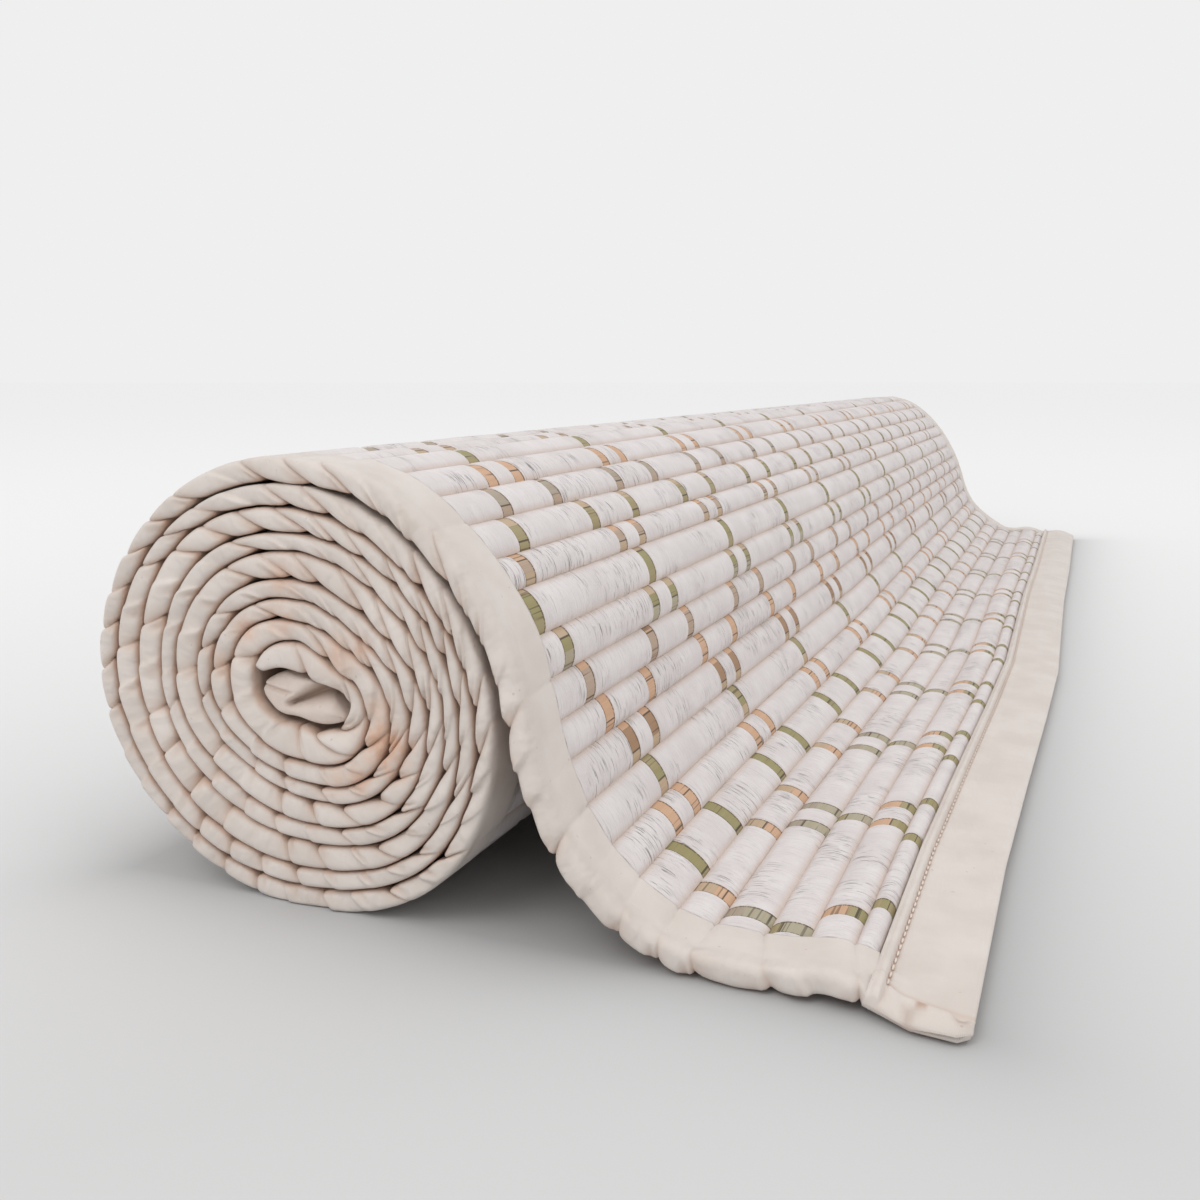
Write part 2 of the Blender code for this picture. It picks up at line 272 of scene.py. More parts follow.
def soft_step(value: Array, start: float, end: float) -> Array:
    """Return a smooth rise from 0 to 1 between two values.

    Args:
        value: where to read the rise.
        start: value at which it leaves 0.
        end: value at which it reaches 1.
    Returns:
        The rise at each value.
    """
    t = np.clip((value - start) / (end - start), 0, 1)
    return t * t * (3 - 2 * t)


def blend(pair: tuple[float, float], share: Array) -> Array:
    """Return a value that starts at a pair's first number and gains its second as a share goes to 1."""
    return pair[0] + pair[1] * share


def bell(distance: Array, spread: Array | float) -> Array:
    """Return 1 in the middle of a soft bell, and less with the distance from it."""
    return np.exp(-((distance / spread) ** 2))


@dataclass(frozen=True)
class Drawing:
    """Where the drawing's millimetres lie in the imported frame."""

    corner: Vector

    @classmethod
    def from_frame(cls) -> "Drawing":
        """Find the drawing's place from the box of the folded end in the eye of the roll.

        Returns:
            The drawing, in its place.
        """
        low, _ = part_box("end_binding_inner")
        lowest_x = min(x for x, _ in FOLDED_END)
        return cls(Vector((low.x - lowest_x * MM, low.y - FOLDED_TUCK * MM, 0.0)))

    def place(self, spots: Array) -> Array:
        """Return drawing points, in millimetres, as frame points in metres."""
        return np.asarray(spots, float) * MM + np.array(self.corner)


@dataclass
class Course:
    """The mat's middle line from its loose tip inwards, as the solids have it."""

    width: float = 762.0
    turn_gap: float = 0.5
    steps_a_turn: int = 120
    first_wound_step: int = 2
    wound_turns: float = 8.16
    loose_steps: int = 8
    all_drift: float = 50.0
    no_drift: float = 180.0
    centre: tuple[float, float] = (-12.0, 50.0)
    along: Array = field(init=False)
    rows: Array = field(init=False)

    def __post_init__(self) -> None:
        """Lay the rows of the loose end and of the turns one after another."""
        loose = self.smooth(np.array(LOOSE_END, float), self.loose_steps)
        rows = np.vstack([loose, self.wound()])
        steps = np.hypot(np.diff(rows[:, 0]), np.diff(rows[:, 1]))
        self.along = np.concatenate([[0.0], np.cumsum(steps)])
        self.rows = np.hstack([rows, self.outward(rows, len(loose))])

    @property
    def length(self) -> float:
        """Return the mat's length along its middle line."""
        return float(self.along[-1])

    @staticmethod
    def smooth(table: Array, steps: int) -> Array:
        """Return a table's rows with smooth ones between them.

        Args:
            table: one row for each place.
            steps: number of rows for each row of the table.
        Returns:
            The finer rows, on a curve through each four rows.
        """
        padded = np.vstack([2 * table[0] - table[1], table, 2 * table[-1] - table[-2]])
        out = []
        for i in range(1, len(padded) - 2):
            before, start, end, after = padded[i - 1 : i + 3]
            for t in np.linspace(0, 1, steps, endpoint=False):
                bend = 2 * start + (end - before) * t
                bend += (2 * before - 5 * start + 4 * end - after) * t**2
                bend += (3 * start - before - 3 * end + after) * t**3
                out.append(bend / 2)
        out.append(table[-1])
        return np.array(out)

    def wound(self) -> Array:
        """Return the middle line's rows through the turns.

        Returns:
            Rows like the table's, from the top of the roll to the inner end.
        """
        faces = np.array([radius for turn in TURNS for radius in turn])
        fine = self.smooth(faces[:, None], self.steps_a_turn // len(Turn._fields))[:, 0]
        steps = np.arange(self.first_wound_step, int(self.wound_turns * self.steps_a_turn) + 1)
        angle = math.pi / 2 + math.tau * steps / self.steps_a_turn
        outer, inner = fine[steps], fine[steps + self.steps_a_turn]
        x = self.centre[0] + (outer + inner) / 2 * np.cos(angle)
        z = self.centre[1] + (outer + inner) / 2 * np.sin(angle)
        return np.stack([x, z, x, z, outer - inner - self.turn_gap], axis=1)

    def outward(self, rows: Array, loose_count: int) -> Array:
        """Return the direction to the outer face at each row, for the near and the far end.

        Args:
            rows: the middle line's rows.
            loose_count: how many of them belong to the loose end.
        Returns:
            Four columns: the direction at the near end and at the far end.
        """
        sides = []
        for first in (0, 2):
            tangent = np.gradient(rows[:, first : first + 2], axis=0)
            tangent /= np.linalg.norm(tangent, axis=1)[:, None]
            facing = np.stack([tangent[:, 1], -tangent[:, 0]], axis=1)
            spoke = rows[:, first : first + 2] - self.centre
            spoke /= np.linalg.norm(spoke, axis=1)[:, None]
            facing[loose_count:] = spoke[loose_count:]
            sides.append(facing)
        return np.hstack(sides)

    def at(self, along: Array, y: Array) -> tuple[Array, Array, Array]:
        """Read the middle line at distances along and across the mat.

        Args:
            along: distances from the loose tip.
            y: distances from the near edge, of the same shape.
        Returns:
            Middle points (x, z), directions to the outer face (x, z), and thickness.
        """
        along = np.asarray(along, float)
        y = np.broadcast_to(np.asarray(y, float), along.shape)
        far = np.clip(y / self.width, 0, 1)[..., None]
        value = np.stack([np.interp(along, self.along, column) for column in self.rows.T], axis=-1)
        middle = value[..., 0:2] * (1 - far) + value[..., 2:4] * far
        facing = value[..., 5:7] * (1 - far) + value[..., 7:9] * far
        fade = 1 - soft_step(along, self.all_drift, self.no_drift)
        shift = np.interp(y, [drift.y for drift in DRIFTS], [drift.shift for drift in DRIFTS])
        middle[..., 0] += shift * fade
        return middle, facing / np.linalg.norm(facing, axis=-1)[..., None], value[..., 4]


@dataclass(frozen=True)
class Ribs:
    """Where the ribs lie along the mat."""

    first: float = 21.8
    half_hidden: float = 5.0
    shortest_last: float = 0.5
    widths: tuple[float, ...] = (
        9.8, 9.6, 11.3, 9.6, 11.6, 9.7, 11.1, 10.9,
        9.5, 10.0, 10.0, 11.3, 8.5, 10.0, 9.7, 10.5,
    )

    def edges(self, length: float) -> Array:
        """Return where the grooves between ribs cross the mat.

        Args:
            length: the mat's length.
        Returns:
            Distances from its loose tip, its two ends included.
        """
        edges = [self.first, self.first + self.half_hidden]
        for width in itertools.cycle(self.widths):
            if edges[-1] + (1 + self.shortest_last) * width > length:
                break
            edges.append(edges[-1] + width)
        return np.array(edges + [length])


class Meshes:
    """Turns arrays of points into plain objects."""

    @staticmethod
    def object_from(name: str, spots: Array, faces: Array | list, smooth: bool = True) -> bpy.types.Object:
        """Make an object from points and faces.

        Args:
            name: the object's name.
            spots: points in the frame, in metres.
            faces: rows of point numbers.
            smooth: whether its faces are shaded smooth.
        Returns:
            The new object, linked into the scene.
        """
        data = bpy.data.meshes.new(name)
        data.from_pydata(np.asarray(spots).reshape(-1, 3).tolist(), [], [list(face) for face in faces])
        data.validate()
        if smooth:
            data.shade_smooth()
        thing = bpy.data.objects.new(name, data)
        bpy.context.scene.collection.objects.link(thing)
        return thing

    @staticmethod
    def mark(
        thing: bpy.types.Object, name: str, values: Array, kind: str = "FLOAT", domain: str = "POINT"
    ) -> None:
        """Store values on a mesh's points or faces.

        Args:
            thing: the object.
            name: the attribute's name.
            values: one value, vector or colour for each point or face.
            kind: Blender's type of the attribute.
            domain: POINT or FACE.
        """
        attribute = thing.data.attributes.new(name, kind, domain)
        key = {"FLOAT": "value", "BOOLEAN": "value", "FLOAT_VECTOR": "vector", "FLOAT_COLOR": "color"}[kind]
        flat = np.ascontiguousarray(values, bool if kind == "BOOLEAN" else np.float32).ravel()
        attribute.data.foreach_set(key, flat)

    @staticmethod
    def tube_faces(rings: int, around: int, start: int = 0) -> list[tuple[int, ...]]:
        """Return the faces of a closed tube, its points numbered ring by ring.

        Args:
            rings: number of rings.
            around: number of points in a ring.
            start: number of the tube's first point.
        Returns:
            Quads between rings, and the two end faces.
        """
        faces: list[tuple[int, ...]] = []
        for r in range(rings - 1):
            a, b = start + r * around, start + (r + 1) * around
            for i in range(around):
                j = (i + 1) % around
                faces.append((a + i, a + j, b + j, b + i))
        faces.append(tuple(range(start + around - 1, start - 1, -1)))
        last = start + (rings - 1) * around
        faces.append(tuple(range(last, last + around)))
        return faces


class Tree:
    """A geometry node tree with named inputs, put together node by node."""

    def __init__(self, name: str) -> None:
        """Start a tree that takes a geometry and gives one.

        Args:
            name: the tree's name.
        """
        self.group = bpy.data.node_groups.new(name, "GeometryNodeTree")
        self.group.interface.new_socket("Geometry", in_out="INPUT", socket_type="NodeSocketGeometry")
        self.group.interface.new_socket("Geometry", in_out="OUTPUT", socket_type="NodeSocketGeometry")
        self.start = self.group.nodes.new("NodeGroupInput")
        self.end = self.group.nodes.new("NodeGroupOutput")
        self.names: dict[str, str] = {}

    def number(self, name: str, kind: str = "NodeSocketFloat") -> bpy.types.NodeSocket:
        """Add a named input.

        Args:
            name: the input's name.
            kind: its type of socket.
        Returns:
            Its socket inside the tree.
        """
        socket = self.group.interface.new_socket(name, in_out="INPUT", socket_type=kind)
        self.names[name] = socket.identifier
        return next(out for out in self.start.outputs if out.identifier == socket.identifier)

    def node(self, kind: str, *inputs: object, **settings: object) -> bpy.types.Node:
        """Add a node.

        Args:
            kind: the node's type.
            inputs: sockets or values for its inputs, in order; None leaves one as it is.
            settings: the node's own properties, set before its inputs.
        Returns:
            The new node.
        """
        made = self.group.nodes.new(kind)
        for name, value in settings.items():
            setattr(made, name, value)
        shown = [socket for socket in made.inputs if socket.enabled]
        for socket, value in zip(shown, inputs):
            if isinstance(value, bpy.types.NodeSocket):
                self.group.links.new(value, socket)
            elif value is not None:
                socket.default_value = value
        return made

    def math(self, operation: str, *inputs: object) -> bpy.types.NodeSocket:
        """Add a math node and return its result."""
        return self.node("ShaderNodeMath", *inputs, operation=operation).outputs[0]

    def vector(self, operation: str, *inputs: object) -> bpy.types.NodeSocket:
        """Add a vector math node and return its result."""
        return self.node("ShaderNodeVectorMath", *inputs, operation=operation).outputs[0]

    def read(self, name: str, kind: str = "FLOAT") -> bpy.types.NodeSocket:
        """Return a named attribute's socket."""
        made = self.node("GeometryNodeInputNamedAttribute", name, data_type=kind)
        return next(out for out in made.outputs if out.enabled)

    def close(self, geometry: bpy.types.NodeSocket, material: bpy.types.Material) -> None:
        """Realize the instances, give all faces a material and end the tree.

        Args:
            geometry: what the tree has made.
            material: the finish of all its faces.
        """
        solid = self.node("GeometryNodeRealizeInstances", geometry).outputs[0]
        dressed = self.node("GeometryNodeSetMaterial", solid, None, material).outputs[0]
        self.group.links.new(dressed, self.end.inputs[0])

    def bake(self, thing: bpy.types.Object, values: dict[str, object]) -> bpy.types.Object:
        """Run the tree on an object and keep the result as its plain mesh.

        Args:
            thing: the object whose mesh the tree starts from.
            values: a value for each named input.
        Returns:
            The same object, with the new mesh and no modifier.
        """
        modifier = thing.modifiers.new(self.group.name, "NODES")
        modifier.node_group = self.group
        for name, value in values.items():
            modifier[self.names[name]] = value
        bpy.context.view_layer.update()
        done = thing.evaluated_get(bpy.context.evaluated_depsgraph_get())
        mesh = bpy.data.meshes.new_from_object(done)
        thing.modifiers.remove(modifier)
        thing.data = mesh
        mesh.name = thing.name
        return thing


class Ramp(NamedTuple):
    """A smooth rise of a number: where it starts and ends, and what it gives before and after."""

    start: float
    end: float
    low: float = 0.0
    high: float = 1.0


class Shader:
    """A material's node tree with one principled shader, put together node by node."""

    def __init__(self, name: str, roughness: float, sheen: float = 0.0, specular: float = 0.5) -> None:
        """Start a material with the shader's plain numbers set on its own sockets.

        Args:
            name: the material's name.
            roughness: how matt it is, from 0 to 1.
            sheen: weight of the soft glow of its fuzz.
            specular: level of its gloss.
        """
        self.material = bpy.data.materials.new(name)
        self.material.use_nodes = True
        self.tree = self.material.node_tree
        self.surface = self.tree.nodes["Principled BSDF"]
        self.surface.inputs["Roughness"].default_value = roughness
        self.surface.inputs["Sheen Weight"].default_value = sheen
        self.surface.inputs["Sheen Roughness"].default_value = 0.5
        self.surface.inputs["Specular IOR Level"].default_value = specular

    def node(self, kind: str, inputs: dict[str, object] | None = None, **settings: object) -> bpy.types.Node:
        """Add a node.

        Args:
            kind: the node's type.
            inputs: sockets or values by input name or number.
            settings: the node's own properties.
        Returns:
            The new node.
        """
        made = self.tree.nodes.new(kind)
        for name, value in settings.items():
            setattr(made, name, value)
        for key, value in (inputs or {}).items():
            socket = made.inputs[key]
            if isinstance(value, bpy.types.NodeSocket):
                self.tree.links.new(value, socket)
            else:
                socket.default_value = value
        return made

    def math(self, operation: str, *inputs: object) -> bpy.types.NodeSocket:
        """Add a math node and return its result."""
        return self.node("ShaderNodeMath", dict(enumerate(inputs)), operation=operation).outputs[0]

    def vector(self, operation: str, *inputs: object, output: str = "Vector") -> bpy.types.NodeSocket:
        """Add a vector math node and return its result."""
        return self.node("ShaderNodeVectorMath", dict(enumerate(inputs)), operation=operation).outputs[output]

    def read(self, name: str, output: str = "Fac") -> bpy.types.NodeSocket:
        """Return a named attribute of the mesh."""
        return self.node("ShaderNodeAttribute", attribute_name=name).outputs[output]

    def rise(self, value: object, ramp: Ramp) -> bpy.types.NodeSocket:
        """Return a smooth rise of a value.

        Args:
            value: the socket to read.
            ramp: where it rises, and what it gives before and after.
        Returns:
            The result's socket.
        """
        inputs = {"Value": value, "From Min": ramp.start, "From Max": ramp.end}
        inputs |= {"To Min": ramp.low, "To Max": ramp.high}
        return self.node("ShaderNodeMapRange", inputs, interpolation_type="SMOOTHSTEP").outputs["Result"]

    def noise(
        self, place: object, scale: float, detail: float = 2.0, rough: float = 0.5
    ) -> bpy.types.NodeSocket:
        """Return a noise from 0 to 1 at a place."""
        inputs = {"Vector": place, "Scale": scale, "Detail": detail, "Roughness": rough}
        return self.node("ShaderNodeTexNoise", inputs).outputs["Fac"]

    def joined(self, x: object, y: object, z: object = 0.0) -> bpy.types.NodeSocket:
        """Return a vector from three numbers."""
        return self.node("ShaderNodeCombineXYZ", {0: x, 1: y, 2: z}).outputs[0]

    def cells(self, along: float, across: float, third: object) -> bpy.types.NodeSocket:
        """Return a pattern's place, with its steps as long as given along and across the mat.

        Args:
            along: length of a step along the mat, in metres.
            across: length of a step across it.
            third: third number of the place.
        Returns:
            The place's socket.
        """
        x = self.math("DIVIDE", self.read("along"), along)
        y = self.math("DIVIDE", self.read("across"), across)
        return self.joined(x, y, third)

    def in_rib(self, share: float, across: float) -> bpy.types.NodeSocket:
        """Return a pattern's place that differs from rib to rib.

        Args:
            share: its scale over a rib's width.
            across: its scale over each metre across the mat.
        Returns:
            The place's socket.
        """
        x = self.math("MULTIPLY", self.read("share"), share)
        y = self.math("MULTIPLY", self.read("across"), across)
        return self.joined(x, y, self.read("rib"))

    def mix(self, share: object, first: object, second: object, blend: str = "MIX") -> bpy.types.NodeSocket:
        """Return a mix of two colours.

        Args:
            share: how much of the second there is.
            first: the first colour.
            second: the second colour.
            blend: Blender's name of the way in which they mix.
        Returns:
            The mix's socket.
        """
        made = self.node("ShaderNodeMix", data_type="RGBA", blend_type=blend)
        for key, value in ((0, share), (6, first), (7, second)):
            if isinstance(value, bpy.types.NodeSocket):
                self.tree.links.new(value, made.inputs[key])
            else:
                made.inputs[key].default_value = value
        return made.outputs[2]

    def bump(self, layers: Iterable[tuple[object, float]]) -> None:
        """Raise the surface.

        Args:
            layers: heights from 0 to 1, each with its depth in metres.
        """
        normal = None
        for height, depth in layers:
            inputs = {"Height": height, "Distance": depth, "Strength": 1.0}
            if normal is not None:
                inputs["Normal"] = normal
            normal = self.node("ShaderNodeBump", inputs).outputs[0]
        self.tree.links.new(normal, self.surface.inputs["Normal"])

    def colour(self, socket: bpy.types.NodeSocket) -> None:
        """Lead a colour to the shader."""
        self.tree.links.new(socket, self.surface.inputs["Base Color"])


@dataclass(frozen=True)
class CottonYarn:
    """Finish of the cotton yarn over the ribs: fine yarns across each rib, thin slits, soft fuzz and painted
    shade towards the grooves.
    """

    light: tuple[int, int, int] = (229, 223, 222)
    shade: tuple[int, int, int] = (214, 206, 205)
    # Painted shade: a warm, darker tint towards the grooves between ribs
    groove: tuple[int, int, int] = (216, 198, 187)
    glint: tuple[int, int, int] = (244, 240, 238)
    slit: tuple[int, int, int] = (120, 114, 110)
    yarn: float = 0.0006
    yarn_depth: float = 0.0004
    yarn_shade: Ramp = Ramp(0.32, 0.52, 0.9, 0.0)
    slit_length: float = 0.006
    slit_width: float = 0.65
    slit_offset: float = 40.0
    slit_shown: Ramp = Ramp(0.62, 0.7)
    slit_strength: float = 0.75
    patch: float = 0.02
    patch_shown: Ramp = Ramp(0.45, 0.63)
    rib_jump: float = 0.37
    soft_scale: float = 90.0
    soft_light: Ramp = Ramp(0.3, 0.7, 0.35, 1.0)
    fuzz: float = 0.00035
    fuzz_depth: float = 0.00012
    fuzz_glint: Ramp = Ramp(0.5, 0.75, 0.0, 0.25)
    groove_painted_shade: Ramp = Ramp(0.62, 1.0, 0.0, 0.7)

    def material(self) -> bpy.types.Material:
        """Make the cotton's material.

        Returns:
            The material.
        """
        s = Shader("cotton_yarn", roughness=0.95, sheen=0.25, specular=0.2)
        rib = s.read("rib")
        place = s.joined(s.read("along"), s.read("across"), s.math("MULTIPLY", rib, self.rib_jump))
        yarns = s.noise(s.cells(self.slit_length, self.yarn, rib), 1.0, 3.0, 0.6)
        layer = s.math("ADD", rib, self.slit_offset)
        slit_place = s.cells(self.slit_length, self.yarn * self.slit_width, layer)
        slits = s.rise(s.noise(slit_place, 1.0, 1.0, 0.4), self.slit_shown)
        slits = s.math("MULTIPLY", slits, s.rise(s.noise(place, 1 / self.patch, 1.0), self.patch_shown))
        fuzz = s.noise(place, 1 / self.fuzz, 3.0, 0.7)
        soft = s.rise(s.noise(place, self.soft_scale), self.soft_light)
        base = s.mix(soft, linear(self.shade), linear(self.light))
        base = s.mix(s.rise(yarns, self.yarn_shade), base, linear(self.shade))
        base = s.mix(s.rise(fuzz, self.fuzz_glint), base, linear(self.glint))
        # Painted shade towards each rib's edges, in the grooves
        side = s.math("ABSOLUTE", s.math("SUBTRACT", s.math("MULTIPLY", s.read("share"), 2.0), 1.0))
        base = s.mix(s.rise(side, self.groove_painted_shade), base, linear(self.groove))
        s.colour(s.mix(s.math("MULTIPLY", slits, self.slit_strength), base, linear(self.slit)))
        whole = s.math("SUBTRACT", 1.0, slits)
        s.bump([(yarns, self.yarn_depth), (fuzz, self.fuzz_depth), (whole, self.yarn_depth)])
        return s.material


@dataclass(frozen=True)
class ReedSkin:
    """Finish of the reeds that show in the bands: split canes side by side, with fine grain along them and a
    painted shadow line along the bands' edges.
    """

    reed_edge: Ramp = Ramp(0.0, 0.01)
    grain: float = 0.00025
    grain_length: float = 0.02
    grain_depth: float = 0.00008
    grain_tone: tuple[int, int, int] = (224, 218, 206)
    grain_shown: Ramp = Ramp(0.3, 0.7, 0.0, 0.35)
    broad: tuple[float, float] = (5.0, 14.0)
    broad_tone: tuple[int, int, int] = (236, 220, 200)
    broad_shown: Ramp = Ramp(0.3, 0.7, 0.0, 0.3)
    split: tuple[int, int, int] = (58, 46, 32)
    split_gap: Ramp = Ramp(0.014, 0.028, 1.0, 0.0)
    split_bands: float = 19.0
    splits_shown: tuple[Ramp, Ramp] = (Ramp(0.42, 0.5), Ramp(0.5, 0.42))
    split_strength: float = 0.85
    # Painted shadow line where the yarn's edge meets the recessed reeds at a band's sides, broken up raggedly
    rim: tuple[int, int, int] = (82, 66, 46)
    rim_shade_from: float = 0.00215
    rim_shade_over: float = 0.00035
    ragged: tuple[float, float] = (26.0, 300.0)
    ragged_shown: Ramp = Ramp(0.34, 0.54, 0.15, 0.85)
    crack: tuple[float, float] = (0.0006, 0.05)
    crack_shown: Ramp = Ramp(0.68, 0.74)
    crack_strength: float = 0.55

    def material(self) -> bpy.types.Material:
        """Make the reeds' material, coloured by the reeds that each rib holds.

        Returns:
            The material.
        """
        s = Shader("reed", roughness=0.55, specular=0.35)
        rib, share = s.read("rib"), s.read("share")
        splits = (s.read("split_a"), s.read("split_b"))
        colour = s.read("reed_a", "Color")
        for split, reed in zip(splits, ("reed_b", "reed_c")):
            beyond = s.rise(s.math("SUBTRACT", share, split), self.reed_edge)
            colour = s.mix(beyond, colour, s.read(reed, "Color"))
        grain = s.noise(s.cells(self.grain, self.grain_length, rib), 1.0, 3.0, 0.6)
        broad = s.noise(s.in_rib(*self.broad), 1.0, 1.0)
        tones = ((grain, self.grain_shown, self.grain_tone), (broad, self.broad_shown, self.broad_tone))
        for noise, shown, tone in tones:
            toned = s.mix(1.0, colour, linear(tone), "MULTIPLY")
            colour = s.mix(s.rise(noise, shown), colour, toned)
        bands = s.noise(s.joined(rib, s.math("MULTIPLY", s.read("across"), self.split_bands), 3.0), 1.0, 0.0)
        for split, shown in zip(splits, self.splits_shown):
            gap = s.math("ABSOLUTE", s.math("SUBTRACT", share, split))
            dark = s.math("MULTIPLY", s.rise(gap, self.split_gap), s.rise(bands, shown))
            colour = s.mix(s.math("MULTIPLY", dark, self.split_strength), colour, linear(self.split))
        # Painted shadow line along the band's edges
        rim = s.rise(s.math("ABSOLUTE", s.read("off")), Ramp(self.rim_shade_from, self.rim_shade_from + self.rim_shade_over))
        ragged = s.rise(s.noise(s.in_rib(*self.ragged), 1.0, 1.0), self.ragged_shown)
        colour = s.mix(s.math("MULTIPLY", rim, ragged), colour, linear(self.rim))
        cracks = s.rise(s.noise(s.cells(*self.crack, rib), 1.0, 0.0), self.crack_shown)
        s.colour(s.mix(s.math("MULTIPLY", cracks, self.crack_strength), colour, linear(self.split)))
        s.bump([(grain, self.grain_depth)])
        return s.material


@dataclass(frozen=True)
class BindingCloth:
    """Finish of the plain cotton tape: a close weave, soft wrinkles, rust-coloured stains and painted shade.
    """

    light: tuple[int, int, int] = (225, 216, 209)
    shade: tuple[int, int, int] = (217, 207, 199)
    tone_scale: float = 70.0
    tone_shown: Ramp = Ramp(0.3, 0.7)
    speck: tuple[int, int, int] = (150, 130, 112)
    speck_scale: float = 650.0
    speck_shown: Ramp = Ramp(0.77, 0.8, 0.0, 0.3)
    stain: tuple[int, int, int] = (218, 156, 112)
    stain_scale: float = 320.0
    stain_shown: Ramp = Ramp(0.25, 0.65, 0.35, 1.0)
    # Painted shade: a warm brown laid into creases, pockets, gaps and along seam and hem lines
    fold: tuple[int, int, int] = (202, 164, 138)
    painted_fold_shade_strength: float = 0.75
    # Painted shade: a dark brown on covered places, in the eye's slit and fold, deep in the roll and in the
    # hem's hollows
    painted_shade: tuple[int, int, int] = (160, 128, 105)
    painted_shade_strength: float = 0.8
    thread: float = 0.00032
    thread_depth: float = 0.00003
    crumple: float = 0.0045
    crumple_stretch: float = 2.2
    crumple_depth: float = 0.0015
    wrinkle: float = 0.007
    wrinkle_depth: float = 0.00025

    def material(self) -> bpy.types.Material:
        """Make the tape's material.

        Returns:
            The material.
        """
        s = Shader("binding_cloth", roughness=0.6, sheen=0.15, specular=0.35)
        place = s.node("ShaderNodeTexCoord").outputs["Object"]
        base = s.rise(s.noise(place, self.tone_scale, 3.0), self.tone_shown)
        base = s.mix(base, linear(self.shade), linear(self.light))
        specks = s.rise(s.noise(place, self.speck_scale, 1.0), self.speck_shown)
        base = s.mix(specks, base, linear(self.speck))
        blotches = s.rise(s.noise(place, self.stain_scale, 3.0), self.stain_shown)
        base = s.mix(s.math("MULTIPLY", s.read("stain"), blotches), base, linear(self.stain))
        # Painted shade: first the warm brown of creases and gaps, then the dark brown of covered and hollow
        # places
        base = s.mix(s.math("MULTIPLY", s.read("fold"), self.painted_fold_shade_strength), base, linear(self.fold))
        s.colour(s.mix(s.math("MULTIPLY", s.read("painted_shade"), self.painted_shade_strength), base, linear(self.painted_shade)))
        ways = [s.math("MULTIPLY", s.read(way), math.tau / self.thread) for way in ("along", "across")]
        weave = s.math("MULTIPLY", *(s.math("SINE", way) for way in ways))
        crumples = s.noise(s.cells(self.crumple, self.crumple * self.crumple_stretch, 0.0), 1.0, 2.0, 0.4)
        crumples = s.math("MULTIPLY", crumples, s.read("crumple"))
        wrinkles = s.noise(place, 1 / self.wrinkle, 2.0, 0.45)
        s.bump([(crumples, self.crumple_depth), (wrinkles, self.wrinkle_depth), (weave, self.thread_depth)])
        return s.material


@dataclass(frozen=True)
class SewingThread:
    """Finish of the stitches: cotton with a fine twist."""

    light: tuple[int, int, int] = (232, 224, 216)
    shade: tuple[int, int, int] = (214, 204, 196)
    twist: float = 0.0004
    twist_depth: float = 0.00008
    twist_shown: Ramp = Ramp(0.3, 0.7, 0.0, 0.4)

    def material(self) -> bpy.types.Material:
        """Make the thread's material.

        Returns:
            The material.
        """
        s = Shader("sewing_thread", roughness=0.8, sheen=0.2)
        twist = s.noise(s.node("ShaderNodeTexCoord").outputs["Object"], 1 / self.twist)
        s.colour(s.mix(s.rise(twist, self.twist_shown), linear(self.light), linear(self.shade)))
        s.bump([(twist, self.twist_depth)])
        return s.material


class RibCage(NamedTuple):
    """One rib as a closed tube: its number of rings, its points, and values by name for the rib tree."""

    rings: int
    spots: Array
    marks: dict[str, Array]


MARK_KINDS = {
    "outward": "FLOAT_VECTOR",
    "reed_a": "FLOAT_COLOR",
    "reed_b": "FLOAT_COLOR",
    "reed_c": "FLOAT_COLOR",
    "bare": "BOOLEAN",
}


